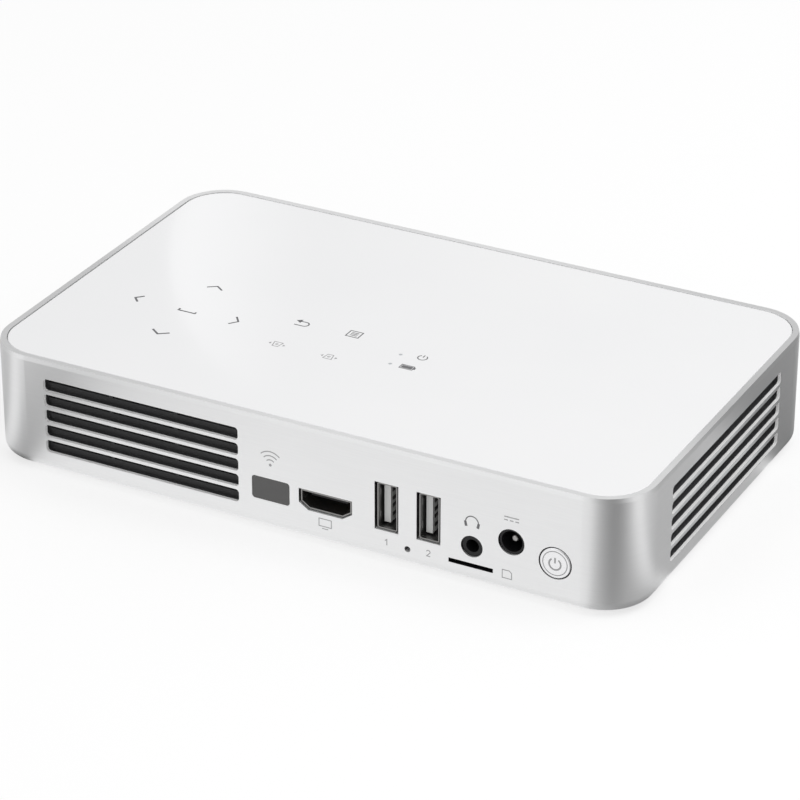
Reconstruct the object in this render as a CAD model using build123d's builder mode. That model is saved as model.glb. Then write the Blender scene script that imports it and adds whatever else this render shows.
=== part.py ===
"""Pocket LED projector: a metal band between two covers, with its optics, fans, boards and sockets.

Frame: the origin is at the centre of the footprint, on the surface that the feet stand on. +Z is up,
+X runs along the long side, the sockets face -Y and the lens looks along +Y. Sizes are millimetres.
Heights are counted from the band's lower face, which stands foot_proud above the surface.
"""

import os
from math import atan, cos, degrees, pi, radians, sin, sqrt, tan

from build123d import *

# ---- casing ----
body_width = 190.0
body_depth = 118.0
body_height = 32.6
corner_radius = 14.0
least_corner = 0.5
wall = 1.9
lower_edge_radius = 2.9
rim_bevel_height = 1.2
rim_bevel_inset = 0.25
ledge_width = 1.3
ledge_height = 1.2
cover_thickness = 1.8
cover_drop = 0.1
cover_gap = 0.1
cover_edge_radius = 0.4
bottom_inset = 3.2
bottom_thickness = 2.0
bottom_gap = 0.15
foot_proud = 1.0
foot_radius = 5.0
foot_recess = 0.6
foot_edge_radius = 0.5
foot_inset_x = 25.0
foot_inset_y = 17.0

# ---- screws ----
case_boss_radius = 3.2
case_boss_inset = 11.2
case_screw_radius = 1.2
case_head_radius = 2.4
case_head_height = 1.6
case_head_depth = 2.4
case_seat_radius = 4.2
case_boss_seat = 4.6
case_screw_length = 11.0
gusset_length = 7.0
gusset_thickness = 1.2
gusset_height = 3.0
screw_hole_gap = 0.3
board_boss_radius = 2.4
board_screw_radius = 0.95
board_screw_length = 4.5
board_head_radius = 1.9
board_head_height = 1.2
board_hole_gap = 0.2
board_spot_inset = 5.0
board_spot_shifts = (2.4, 1.8)
board_spot_depths = (9.0, 16.0)
engine_boss_radius = 3.0
engine_screw_radius = 1.2
engine_head_radius = 2.3
engine_head_height = 1.5
engine_pilot_skin = 0.9
engine_screw_spare = 0.4
hole_gap = 0.05
pilot_spare = 1.0

# ---- tripod insert ----
insert_x = -12.0
insert_y = 10.0
insert_bore_radius = 2.6
insert_radius = 5.0
insert_length = 8.0
insert_bore_length = 7.0
insert_flange_radius = 6.2
insert_flange_height = 1.0
insert_boss_wall = 2.4
insert_boss_cap = 1.0
insert_chamfer = 0.3

# ---- vents ----
slot_count = 5
slot_height = 3.6
slot_pitch = 4.54
top_slot_height = 25.5
slot_end_radius = 1.0
rear_vent_length = 59.0
vent_window_gap = 3.95
right_vent_length = 71.0
right_vent_y = 0.0
left_vent_length = 56.0
left_vent_y = -8.0
grille_thickness = 1.0
grille_margin = 2.0
grille_slot_height = 1.7
grille_rib_width = 1.0
grille_cell = 19.0

# ---- main board and what it carries ----
board_bottom = 6.3
board_thickness = 1.6
board_window_margin = 7.2
board_button_margin = 5.4
board_depth = 43.0
board_wall_gap = 1.6
board_corner_radius = 1.5
port_recess = 0.5

hdmi_spacing = 17.65
hdmi_axis = 3.55
hdmi_width = 14.7
hdmi_height = 5.1
hdmi_chamfer_width = 2.5
hdmi_chamfer_height = 1.7
hdmi_sheet = 0.35
hdmi_depth = 11.5
hdmi_back = 2.5
hdmi_gap = 0.4
hdmi_tongue_width = 10.6
hdmi_tongue_thickness = 0.9
hdmi_tongue_rise = 0.8
hdmi_tongue_recess = 2.0

usb_spacing = 12.2
usb_pitch = 11.95
usb_axis = 7.3
usb_width = 5.7
usb_height = 13.1
usb_sheet = 0.3
usb_corner = 0.6
usb_depth = 14.0
usb_back = 2.5
usb_gap_side = 0.55
usb_gap_end = 0.33
usb_tongue_thickness = 1.8
usb_tongue_height = 11.1
usb_tongue_shift = 0.95
usb_tongue_recess = 2.0
socket_leg_length = 2.0
socket_leg_gap = 0.5
socket_leg_overlap = 0.5

phone_spacing = 10.95
phone_axis = 2.5
phone_bore_radius = 1.8
phone_nose_radius = 2.95
phone_body_width = 7.2
phone_body_height = 5.2
phone_body_depth = 12.0
phone_bore_length = 12.5
nose_gap = 0.1

dc_spacing = 12.15
dc_axis = 6.7
dc_bore_radius = 2.9
dc_nose_radius = 3.55
dc_body_width = 9.0
dc_body_height = 11.2
dc_body_depth = 11.5
dc_bore_length = 9.5
dc_pin_radius = 1.0
dc_pin_recess = 1.5
dc_pin_round = 0.6

power_inset = 20.9
power_axis = 4.0
power_radius = 4.25
power_gap = 0.3
power_proud = 0.15
power_edge_radius = 0.4
power_flange_radius = 5.2
power_flange_thickness = 0.8
power_flange_gap = 0.1
power_stem_radius = 1.5
power_stem_length = 1.6
plunger_radius = 1.6
plunger_length = 1.8
plunger_gap = 0.3
plunger_reach = 1.2
plunger_room = 0.6
power_switch_width = 6.4
power_switch_height = 7.2
power_switch_depth = 3.6

reset_shift = 6.0
reset_drop = 1.56
reset_hole_radius = 0.85
reset_plunger_radius = 0.6
reset_plunger_length = 2.0
reset_plunger_gap = 0.3
reset_plunger_reach = 1.2
reset_plunger_room = 0.5
reset_setback = 3.2
reset_switch_width = 5.0
reset_switch_height = 2.9
reset_switch_depth = 3.0

card_shift = 0.25
card_drop = 1.35
card_opening_width = 12.5
card_opening_height = 1.25
card_socket_width = 14.0
card_socket_height = 2.4
card_socket_depth = 14.6
card_slot_width = 11.3
card_slot_height = 1.0
card_slot_depth = 13.0
card_setback = 0.2

ir_spacing = 16.0
ir_axis = 3.6
ir_width = 11.1
ir_height = 6.6
ir_corner = 0.9
ir_gap = 0.05
ir_flange_margin = 0.8
ir_flange_thickness = 0.9
ir_receiver_width = 6.0
ir_receiver_height = 5.6
ir_receiver_depth = 3.6
ir_receiver_setback = 5.0
ir_dome_radius = 1.6

chip_inset = 50.0
chip_depth = 28.0
chip_size = 16.0
chip_height = 1.4
sink_size = 22.0
sink_base = 1.6
sink_fin_height = 7.0
sink_fin_thickness = 0.8
sink_fin_count = 8

# ---- touch board under the top cover ----
touch_inset_x = 17.0
touch_inset_y = 19.0
touch_width = 100.0
touch_length = 49.0
touch_thickness = 1.2
touch_corner = 3.0
indicator_inset_x = 15.8
indicator_inset_y = 25.15
indicator_pitch = 5.9
indicator_radius = 0.45
indicator_gap = 0.05
flex_inset_x = 10.0
flex_inset_y = 13.0
flex_width = 9.0
flex_thickness = 0.4

# ---- cooling ----
fan_size = 25.0
fan_thickness = 8.0
fan_pitch = 29.0
fan_inset = 2.5
fan_corner = 2.5
fan_bore_radius = 11.8
fan_tip_gap = 0.4
fan_hub_radius = 6.2
fan_hub_length = 5.0
fan_hub_wall = 0.9
fan_blade_count = 7
fan_blade_root = 4.6
fan_blade_tip = 5.6
fan_blade_thickness = 0.8
fan_root_pitch = 52.0
fan_tip_pitch = 34.0
fan_base_thickness = 1.2
fan_base_radius = 6.0
fan_strut_width = 1.6
fan_strut_count = 4
fan_strut_overlap = 1.0
fan_post_radius = 1.9
fan_shaft_radius = 0.75
fan_shaft_gap = 0.05
fan_end_gap = 0.4
fin_margin = 1.5
fin_depth = 12.0
fin_thickness = 0.5
fin_pitch = 2.4
fin_base = 2.0
fin_wall_gap = 1.6
fan_fin_gap = 1.0
pipe_width = 8.0
pipe_thickness = 2.2
pipe_pitch = 13.0
pipe_length = 61.0
pipe_rise = 0.2

# ---- light engine ----
lens_axis = 16.3
engine_foot = 4.0
engine_left = 15.0
engine_right = 23.0
engine_fan_gap = 11.5
engine_setback = 29.0
engine_edge_radius = 2.0
engine_lug_radius = 3.4
engine_lug_height = 3.0
engine_lug_reach = 4.6
engine_lug_inset = 7.0
engine_lug_overlap = 1.0
snout_radius = 9.6
snout_bore_radius = 8.4
snout_length = 20.0
snout_depth = 12.0
spreader_thickness = 1.5
spreader_width = 30.0
spreader_length = 34.0
led_size = 14.0
led_thickness = 5.0
led_spacing = 19.0
led_shift = 2.0
led_drop = 1.0
led_chamfer = 1.0
dmd_board_thickness = 1.6
dmd_board_length = 32.0
dmd_board_height = 18.0
dmd_board_rise = 1.0
dmd_board_shift = 4.0

# ---- projection lens and focus drive ----
barrel_gap = 0.07
barrel_length = 22.0
barrel_bore_radius = 6.4
barrel_set_back = 5.0
lens_radius = 7.2
lens_edge = 1.6
lens_crown = 1.4
lens_inner_crown = 0.6
lens_rim_gap = 0.2
retainer_length = 1.4
retainer_chamfer = 0.5
gear_module = 0.8
gear_pressure_angle = 20.0
gear_root_depth = 1.25
ring_teeth = 33
wheel_teeth = 25
gear_backlash = 0.14
gear_width = 3.0
ring_gap = 0.06
ring_setback = 15.0
ring_length = 8.0
ring_hub_radius = 10.8
ring_side_gap = 0.3
collar_radius = 9.9
clip_width = 1.0
clip_gap = 0.3
clip_radius = 10.6
clip_groove = 0.5
clip_seat_gap = 0.05
clip_opening = 50.0
wheel_radius = 13.0
wheel_proud = 0.8
wheel_rim_width = 3.5
wheel_flute = 0.35
wheel_flutes = 48
wheel_bore_gap = 0.05
wheel_slot_gap = 0.4
wheel_slot_end_gap = 0.8
wheel_slot_lip = 0.8
wheel_pocket_margin = 1.0
wheel_side_gap = 0.3
axle_radius = 1.5
bracket_sheet = 1.5
bracket_base = 1.0
bracket_ear_width = 6.4
bracket_base_width = 13.0
bezel_hole_radius = 11.0
bezel_gap = 0.05
bezel_flange_radius = 12.6
bezel_flange_thickness = 1.3
bezel_throat_radius = 9.1
bezel_mouth_radius = 10.3
bezel_proud = 0.2

# ---- battery and speaker ----
battery_insert_gap = 8.6
battery_speaker_gap = 4.4
battery_board_gap = 4.0
battery_front_inset = 9.0
battery_height = 13.0
battery_corner = 2.0
battery_gap = 0.3
battery_rib_width = 1.2
battery_rib_height = 5.0
speaker_gap = 0.3
speaker_thickness = 11.4
speaker_length = 60.0
speaker_height = 24.0
speaker_corner = 2.0
driver_radius = 9.6
driver_gap = 0.2
driver_depth = 6.0
driver_spacing = 30.0
driver_cone_radius = 7.8
driver_magnet_radius = 4.4
driver_rim = 1.2
driver_cone_depth = 2.2
driver_cap_radius = 2.6
driver_cap_depth = 1.4

# ---- places worked out from the sizes above ----
base = foot_proud
half_width = body_width / 2
half_depth = body_depth / 2
cover_top = base + body_height - cover_drop
cover_bottom = cover_top - cover_thickness
floor_top = base + bottom_thickness
board_under = base + board_bottom
board_top = board_under + board_thickness
vent_middle = base + top_slot_height - slot_pitch * (slot_count - 1) / 2
pipe_bottom = floor_top + fan_size + pipe_rise
engine_under = base + engine_foot
engine_top = pipe_bottom - spreader_thickness
lens_z = base + lens_axis
wheel_x = -half_width - wheel_proud + wheel_radius
ring_pitch_radius = gear_module * ring_teeth / 2
wheel_pitch_radius = gear_module * wheel_teeth / 2
lens_x = wheel_x + ring_pitch_radius + wheel_pitch_radius
# the row of sockets, from the button at the right
power_x = half_width - power_inset
dc_x = power_x - dc_spacing
phone_x = dc_x - phone_spacing
usb_x = phone_x - usb_spacing - usb_pitch
hdmi_x = usb_x - hdmi_spacing
ir_x = hdmi_x - ir_spacing
card_x = phone_x - card_shift
reset_x = usb_x + reset_shift
# the rear vent, then the fans and fins behind it
rear_vent_right = ir_x - ir_width / 2 - vent_window_gap
rear_vent_x = rear_vent_right - rear_vent_length / 2
fan_right_x = rear_vent_right - fan_inset - fan_size / 2
fan_centres = [fan_right_x - fan_pitch, fan_right_x]
fan_middle_x = fan_right_x - fan_pitch / 2
fin_back = wall + grille_thickness + fin_wall_gap
fin_y = (fin_back - half_depth, fin_back + fin_depth - half_depth)
fan_y = (fin_y[1] + fan_fin_gap, fin_y[1] + fan_fin_gap + fan_thickness)
# the boards
board_left = ir_x - board_window_margin
board_right = power_x + board_button_margin
board_front_y = board_depth - half_depth
chip_x = board_left + chip_inset
chip_y = chip_depth - half_depth
touch_left = touch_inset_x - half_width
touch_right = touch_left + touch_width
touch_rear_y = touch_inset_y - half_depth
touch_front_y = touch_rear_y + touch_length
indicator_x = touch_right - indicator_inset_x
indicator_y = touch_rear_y + indicator_inset_y
flex_x = board_left + flex_inset_x
flex_y = board_front_y - flex_inset_y
# the light engine, the focus ring, the speaker and the battery
engine_rear_y = fan_y[1] + engine_fan_gap
engine_front_y = half_depth - engine_setback
engine_middle_y = (engine_rear_y + engine_front_y) / 2
led_middle_y = engine_middle_y + led_shift
ring_front_y = half_depth - ring_setback
ring_rear_y = ring_front_y - ring_length
speaker_front = half_width - wall - grille_thickness - speaker_gap
battery_left = insert_x + insert_radius + insert_boss_wall + battery_insert_gap
battery_right = speaker_front - speaker_thickness - battery_speaker_gap
battery_rear_y = board_front_y + battery_board_gap
battery_front_y = half_depth - battery_front_inset
CENTRED = (Align.CENTER, Align.CENTER, Align.CENTER)
STANDING = (Align.CENTER, Align.CENTER, Align.MIN)


# ---- planes and shapes that many pieces use ----
def rear_face(inward=0.0):
    """The socket side, seen from outside, moved inward."""
    return Plane(origin=(0, inward - half_depth, 0), x_dir=(1, 0, 0), z_dir=(0, -1, 0))


def right_face(inward=0.0):
    """The +X side, seen from outside, with its local x along +Y."""
    return Plane(origin=(half_width - inward, 0, 0), x_dir=(0, 1, 0), z_dir=(1, 0, 0))


def left_face(inward=0.0):
    """The -X side, seen from outside, with its local x along -Y."""
    return Plane(origin=(inward - half_width, 0, 0), x_dir=(0, -1, 0), z_dir=(-1, 0, 0))


def front_face(inward=0.0):
    """The lens side, seen from outside, with its local x along -X."""
    return Plane(origin=(0, half_depth - inward, 0), x_dir=(-1, 0, 0), z_dir=(0, 1, 0))


def lens_section():
    """A plane through the lens axis: local x is the radius and local y runs along +Y."""
    return Plane(origin=(lens_x, 0, lens_z), x_dir=(1, 0, 0), z_dir=(0, 0, 1))


def outline(inset):
    """The casing's rounded outline, drawn inset from its outer face."""
    radius = max(corner_radius - inset, least_corner)
    RectangleRounded(body_width - 2 * inset, body_depth - 2 * inset, radius)


def slab(inset, low, high, mode=Mode.ADD):
    """A layer of the casing's outline between two levels."""
    with BuildSketch(Plane.XY.offset(low)) as layer:
        outline(inset)
    extrude(layer.sketch, amount=high - low, mode=mode)


def block(x_range, y_range, z_range, mode=Mode.ADD):
    """A block between three pairs of limits."""
    size = [limits[1] - limits[0] for limits in (x_range, y_range, z_range)]
    middle = [(limits[1] + limits[0]) / 2 for limits in (x_range, y_range, z_range)]
    with Locations(Location(middle)):
        Box(*size, align=CENTRED, mode=mode)


def post(spots, low, high, radius, mode=Mode.ADD):
    """Upright cylinders at some spots, between two levels."""
    with Locations(*[(x, y, low) for x, y in spots]):
        Cylinder(radius, high - low, align=STANDING, mode=mode)


def rod(x, z, y_range, radius, mode=Mode.ADD):
    """A cylinder along +Y."""
    with Locations(Location((x, y_range[0], z), (-90, 0, 0))):
        Cylinder(radius, y_range[1] - y_range[0], align=STANDING, mode=mode)


def around(value, half):
    """The limits that lie half a size to each side of a value."""
    return (value - half, value + half)


def vent_slots(face, centre, length, height, lift, depth):
    """Cuts one column of long slots through a side."""
    with BuildSketch(face) as cut:
        with Locations((centre, vent_middle + lift)):
            with GridLocations(length, slot_pitch, 1, slot_count):
                RectangleRounded(length, height, min(slot_end_radius, 0.45 * height))
    extrude(cut.sketch, amount=-depth, mode=Mode.SUBTRACT)


def hdmi_outline(grow):
    """The socket's outline, wide side up, grown by an even margin, drawn round its own axis."""
    side = hdmi_width / 2
    top = hdmi_height / 2
    with BuildSketch() as shape:
        with BuildLine():
            Polyline(
                (-side, top),
                (side, top),
                (side, hdmi_chamfer_height - top),
                (side - hdmi_chamfer_width, -top),
                (hdmi_chamfer_width - side, -top),
                (-side, hdmi_chamfer_height - top),
                close=True,
            )
        make_face()
        offset(amount=grow, kind=Kind.INTERSECTION)
    return shape.sketch


def gear_points(teeth, phase=0.0):
    """An involute gear's outline, tooth by tooth; the first tooth is centred at the phase, in radians."""
    pitch_radius = gear_module * teeth / 2
    base_radius = pitch_radius * cos(radians(gear_pressure_angle))
    tip_radius = pitch_radius + gear_module
    root_radius = pitch_radius - gear_root_depth * gear_module
    half_tooth = (pi * gear_module / 2 - gear_backlash) / 2 / pitch_radius

    def involute(radius):
        if radius <= base_radius:
            return 0.0
        roll = sqrt((radius / base_radius) ** 2 - 1)
        return roll - atan(roll)

    pitch_turn = involute(pitch_radius)
    flank_radii = (root_radius, max(base_radius, root_radius), pitch_radius, tip_radius)
    points = []
    for tooth in range(teeth):
        middle = phase + 2 * pi * tooth / teeth
        flank = [(r, half_tooth + pitch_turn - involute(r)) for r in flank_radii]
        for radius, turn in flank:
            points.append((radius, middle - turn))
        for radius, turn in reversed(flank):
            points.append((radius, middle + turn))
    return [(r * cos(turn), r * sin(turn)) for r, turn in points]


def screws(spots, seat, head_radius, head_height, shank_radius, length, head_up=True):
    """Pan head screws whose heads sit on a level, with the shank on the other side of it."""
    turn = 0 if head_up else 180
    for x, y in spots:
        with Locations(Location((x, y, seat), (turn, 0, 0))):
            Cylinder(head_radius, head_height, align=STANDING)
            Cylinder(shank_radius, length, align=(Align.CENTER, Align.CENTER, Align.MAX))


case_spots = [
    (x, y)
    for x in (case_boss_inset - half_width, half_width - case_boss_inset)
    for y in (case_boss_inset - half_depth, half_depth - case_boss_inset)
]
foot_spots = [
    (x, y)
    for x in (foot_inset_x - half_width, half_width - foot_inset_x)
    for y in (foot_inset_y - half_depth, half_depth - foot_inset_y)
]
board_spots = [
    (board_left + board_spot_inset, board_front_y - board_spot_inset),
    (board_right - board_spot_inset, board_front_y - board_spot_inset),
    ((hdmi_x + usb_x) / 2 + board_spot_shifts[0], board_spot_depths[0] - half_depth),
    ((dc_x + power_x) / 2 + board_spot_shifts[1], board_spot_depths[1] - half_depth),
]
engine_block_x = (lens_x - engine_left, lens_x + engine_right)
engine_block_y = (engine_rear_y, engine_front_y)
engine_spots = [
    (engine_block_x[0] - engine_lug_reach, engine_rear_y + engine_lug_inset),
    (engine_block_x[1] + engine_lug_reach, engine_rear_y + engine_lug_inset),
    (engine_block_x[0] - engine_lug_reach, engine_front_y - 2 * engine_lug_inset),
]
usb_centres = [usb_x, usb_x + usb_pitch]
hdmi_z = board_top + hdmi_axis
usb_z = board_top + usb_axis
phone_z = board_top + phone_axis
dc_z = board_top + dc_axis
power_z = board_top + power_axis
ir_z = board_top + ir_axis
card_z = board_under - card_drop
reset_z = board_under - reset_drop
wheel_rim_y = (ring_rear_y - ring_side_gap - wheel_rim_width, ring_rear_y - ring_side_gap)
gear_y = (ring_rear_y, ring_rear_y + gear_width)
wheel_y = (wheel_rim_y[0], gear_y[1])


# ---- casing ----
with BuildPart() as side_frame:
    slab(0, base, base + body_height - rim_bevel_height)
    fillet(side_frame.faces().sort_by(Axis.Z)[0].edges(), lower_edge_radius)
    with BuildSketch(Plane.XY.offset(base + body_height - rim_bevel_height)):
        outline(0)
    bevel_angle = degrees(atan(rim_bevel_inset / rim_bevel_height))
    extrude(amount=rim_bevel_height, taper=bevel_angle)
    # the hollow, with one ledge for each cover
    slab(bottom_inset, base, floor_top, mode=Mode.SUBTRACT)
    slab(bottom_inset + ledge_width, floor_top, floor_top + ledge_height, mode=Mode.SUBTRACT)
    slab(wall, floor_top + ledge_height, cover_bottom - ledge_height, mode=Mode.SUBTRACT)
    slab(wall + ledge_width, cover_bottom - ledge_height, cover_bottom, mode=Mode.SUBTRACT)
    slab(wall, cover_bottom, base + body_height, mode=Mode.SUBTRACT)
    # vents
    vent_slots(rear_face(), rear_vent_x, rear_vent_length, slot_height, 0, wall)
    vent_slots(right_face(), right_vent_y, right_vent_length, slot_height, 0, wall)
    vent_slots(left_face(), -left_vent_y, left_vent_length, slot_height, 0, wall)
    # sockets, window, button, card slot and reset hole
    with BuildSketch(rear_face()):
        with Locations((hdmi_x, hdmi_z)):
            add(hdmi_outline(hdmi_gap))
        with Locations(*[(x, usb_z) for x in usb_centres]):
            Rectangle(usb_width + 2 * usb_gap_side, usb_height + 2 * usb_gap_end)
        with Locations((phone_x, phone_z)):
            Circle(phone_nose_radius + nose_gap)
        with Locations((dc_x, dc_z)):
            Circle(dc_nose_radius + nose_gap)
        with Locations((power_x, power_z)):
            Circle(power_radius + power_gap)
        with Locations((card_x, card_z)):
            Rectangle(card_opening_width, card_opening_height)
        with Locations((reset_x, reset_z)):
            Circle(reset_hole_radius)
        with Locations((ir_x, ir_z)):
            RectangleRounded(ir_width, ir_height, ir_corner)
    extrude(amount=-wall, mode=Mode.SUBTRACT)
    # lens opening
    with BuildSketch(front_face()):
        with Locations((-lens_x, lens_z)):
            Circle(bezel_hole_radius)
    extrude(amount=-wall, mode=Mode.SUBTRACT)
    # focus wheel slot, with the wall thinned behind it
    outer_chord = sqrt(wheel_radius**2 - (wheel_radius - wheel_proud - wheel_slot_lip) ** 2)
    inner_chord = sqrt(wheel_radius**2 - (wheel_radius - wheel_proud - wall) ** 2)
    rim_middle = (wheel_rim_y[0] + wheel_rim_y[1]) / 2
    with BuildSketch(left_face()):
        with Locations((-rim_middle, lens_z)):
            slot_width = wheel_rim_width + 2 * wheel_slot_gap
            RectangleRounded(slot_width, 2 * (outer_chord + wheel_slot_end_gap), slot_end_radius)
    extrude(amount=-wall, mode=Mode.SUBTRACT)
    with BuildSketch(left_face(wheel_slot_lip)):
        with Locations((-(wheel_y[0] + wheel_y[1]) / 2, lens_z)):
            pocket_width = wheel_y[1] - wheel_y[0] + 2 * wheel_pocket_margin
            RectangleRounded(pocket_width, 2 * (inner_chord + wheel_slot_end_gap), slot_end_radius)
    extrude(amount=wheel_slot_lip - wall, mode=Mode.SUBTRACT)

with BuildPart() as top_cover:
    slab(wall + cover_gap, cover_bottom, cover_top)
    fillet(top_cover.faces().sort_by(Axis.Z)[-1].edges(), cover_edge_radius)
    post(case_spots, base + case_boss_seat, cover_bottom, case_boss_radius)
    # each boss has two gussets under the plate
    for x, y in case_spots:
        inward = (-1 if x > 0 else 1, -1 if y > 0 else 1)
        for step in ((inward[0], 0), (0, inward[1])):
            middle = (x + gusset_length * step[0] / 2, y + gusset_length * step[1] / 2)
            gusset_size = [gusset_length if along else gusset_thickness for along in step]
            with BuildSketch(Plane.XY.offset(cover_bottom)):
                with Locations(middle):
                    Rectangle(*gusset_size)
            extrude(amount=-gusset_height)
    pilot_top = base + case_head_depth + case_screw_length + pilot_spare
    post(case_spots, base + case_boss_seat, pilot_top, case_screw_radius + hole_gap, mode=Mode.SUBTRACT)
    indicator_spots = [
        (indicator_x, indicator_y + side * indicator_pitch / 2) for side in (-1, 1)
    ]
    post(indicator_spots, cover_bottom, cover_top, indicator_radius + indicator_gap, mode=Mode.SUBTRACT)

with BuildPart() as bottom_cover:
    slab(bottom_inset + bottom_gap, base, floor_top)
    post(case_spots, floor_top, base + case_boss_seat, case_seat_radius)
    post(board_spots, floor_top, board_under, board_boss_radius)
    post(engine_spots, floor_top, engine_under, engine_boss_radius)
    insert_spot = [(insert_x, insert_y)]
    post(insert_spot, floor_top, base + insert_length + insert_boss_cap, insert_radius + insert_boss_wall)
    # a low wall round the battery
    with BuildSketch(Plane.XY.offset(floor_top)):
        battery_middle = ((battery_left + battery_right) / 2, (battery_rear_y + battery_front_y) / 2)
        bay_width = battery_right - battery_left + 2 * battery_gap
        bay_length = battery_front_y - battery_rear_y + 2 * battery_gap
        rib = 2 * battery_rib_width
        with Locations(battery_middle):
            Rectangle(bay_width + rib, bay_length + rib)
            Rectangle(bay_width, bay_length, mode=Mode.SUBTRACT)
    extrude(amount=battery_rib_height)
    # holes and recesses, from underneath
    post(case_spots, base, base + case_head_depth, case_head_radius + screw_hole_gap, mode=Mode.SUBTRACT)
    post(case_spots, base, base + case_boss_seat, case_screw_radius + screw_hole_gap, mode=Mode.SUBTRACT)
    post(foot_spots, base, base + foot_recess, foot_radius, mode=Mode.SUBTRACT)
    post(insert_spot, base, base + insert_flange_height, insert_flange_radius, mode=Mode.SUBTRACT)
    post(insert_spot, base, base + insert_length, insert_radius, mode=Mode.SUBTRACT)
    # pilot holes, from above
    board_pilot = board_top - board_screw_length - pilot_spare / 2
    post(board_spots, board_pilot, board_under, board_screw_radius + hole_gap, mode=Mode.SUBTRACT)
    engine_pilot = base + engine_pilot_skin
    post(engine_spots, engine_pilot, engine_under, engine_screw_radius + hole_gap, mode=Mode.SUBTRACT)

with BuildPart() as rubber_feet:
    post(foot_spots, 0, base + foot_recess, foot_radius)
    fillet(rubber_feet.edges().group_by(Axis.Z)[0], foot_edge_radius)

with BuildPart() as case_screws:
    screws(
        case_spots,
        base + case_head_depth,
        case_head_radius,
        case_head_height,
        case_screw_radius,
        case_screw_length,
        head_up=False,
    )

with BuildPart() as tripod_insert:
    post(insert_spot, base, base + insert_flange_height, insert_flange_radius)
    post(insert_spot, base, base + insert_length, insert_radius)
    post(insert_spot, base, base + insert_bore_length, insert_bore_radius, mode=Mode.SUBTRACT)
    mouth = tripod_insert.edges().group_by(Axis.Z)[0].filter_by(GeomType.CIRCLE).sort_by(SortBy.RADIUS)[0]
    chamfer(mouth, insert_chamfer)


def grille(face, centre, length):
    """A liner behind a vent: its strips close the lower part of each slot, and its ribs cross the rest."""
    height = slot_pitch * (slot_count - 1) + slot_height + 2 * grille_margin
    with BuildSketch(face(wall)) as sheet:
        with Locations((centre, vent_middle)):
            RectangleRounded(length + 2 * grille_margin, height, slot_end_radius)
    extrude(sheet.sketch, amount=-grille_thickness)
    cells = max(int(length // grille_cell), 1)
    cell_pitch = length / cells
    lift = (slot_height - grille_slot_height) / 2
    with BuildSketch(face(wall)) as cut:
        with Locations((centre, vent_middle + lift)):
            with GridLocations(cell_pitch, slot_pitch, cells, slot_count):
                Rectangle(cell_pitch - grille_rib_width, grille_slot_height)
    extrude(cut.sketch, amount=-grille_thickness, mode=Mode.SUBTRACT)
    # its ends follow the rounded corners
    slab(wall, floor_top, cover_bottom, mode=Mode.INTERSECT)


with BuildPart() as rear_grille:
    grille(rear_face, rear_vent_x, rear_vent_length)

with BuildPart() as right_grille:
    grille(right_face, right_vent_y, right_vent_length)

with BuildPart() as left_grille:
    grille(left_face, -left_vent_y, left_vent_length)

# ---- main board and sockets ----
board_rear_y = wall + board_wall_gap - half_depth
with BuildPart() as main_board:
    with BuildSketch(Plane.XY.offset(board_under)):
        with Locations(((board_left + board_right) / 2, (board_rear_y + board_front_y) / 2)):
            RectangleRounded(board_right - board_left, board_front_y - board_rear_y, board_corner_radius)
        with Locations(*board_spots):
            Circle(board_screw_radius + board_hole_gap, mode=Mode.SUBTRACT)
    extrude(amount=board_thickness)

with BuildPart() as board_screws:
    screws(
        board_spots,
        board_top,
        board_head_radius,
        board_head_height,
        board_screw_radius,
        board_screw_length,
    )


def depth_range(near, far):
    """Limits along Y, given as depths behind the socket side's outer face."""
    return (near - half_depth, far - half_depth)


with BuildPart() as hdmi_shell:
    with BuildSketch(rear_face(port_recess)):
        with Locations((hdmi_x, hdmi_z)):
            add(hdmi_outline(0))
            add(hdmi_outline(-hdmi_sheet), mode=Mode.SUBTRACT)
    extrude(amount=-hdmi_depth)
    for side in (-1, 1):
        for depth in (wall + board_wall_gap + socket_leg_gap, hdmi_depth - socket_leg_length):
            leg_x = hdmi_x + side * (hdmi_width - hdmi_sheet) / 2
            block(
                around(leg_x, hdmi_sheet / 2),
                depth_range(depth, depth + socket_leg_length),
                (board_top, hdmi_z),
            )

with BuildPart() as hdmi_tongue:
    with BuildSketch(rear_face(port_recess + hdmi_depth - hdmi_back)):
        with Locations((hdmi_x, hdmi_z)):
            add(hdmi_outline(-hdmi_sheet))
    extrude(amount=-hdmi_back)
    block(
        around(hdmi_x, hdmi_tongue_width / 2),
        depth_range(port_recess + hdmi_tongue_recess, port_recess + hdmi_depth - hdmi_back),
        around(hdmi_z + hdmi_tongue_rise, hdmi_tongue_thickness / 2),
    )


def usb_shell(x):
    """An upright sheet metal socket on legs."""
    with BuildSketch(rear_face(port_recess)) as section:
        with Locations((x, usb_z)):
            RectangleRounded(usb_width, usb_height, usb_corner)
            RectangleRounded(
                usb_width - 2 * usb_sheet,
                usb_height - 2 * usb_sheet,
                usb_corner - usb_sheet,
                mode=Mode.SUBTRACT,
            )
    extrude(section.sketch, amount=-usb_depth)
    for side in (-1, 1):
        for depth in (wall + board_wall_gap + socket_leg_gap, usb_depth - socket_leg_length):
            block(
                around(x + side * (usb_width - usb_sheet) / 2, usb_sheet / 2),
                depth_range(depth, depth + socket_leg_length),
                (board_top, usb_z - usb_height / 2 + usb_corner + socket_leg_overlap),
            )


def usb_tongue(x):
    """The insulator that closes the socket's back, with its contact tongue."""
    with BuildSketch(rear_face(port_recess + usb_depth - usb_back)) as section:
        with Locations((x, usb_z)):
            RectangleRounded(
                usb_width - 2 * usb_sheet,
                usb_height - 2 * usb_sheet,
                usb_corner - usb_sheet,
            )
    extrude(section.sketch, amount=-usb_back)
    block(
        around(x - usb_tongue_shift, usb_tongue_thickness / 2),
        depth_range(port_recess + usb_tongue_recess, port_recess + usb_depth - usb_back),
        around(usb_z, usb_tongue_height / 2),
    )


with BuildPart() as usb_shell_1:
    usb_shell(usb_centres[0])

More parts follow.
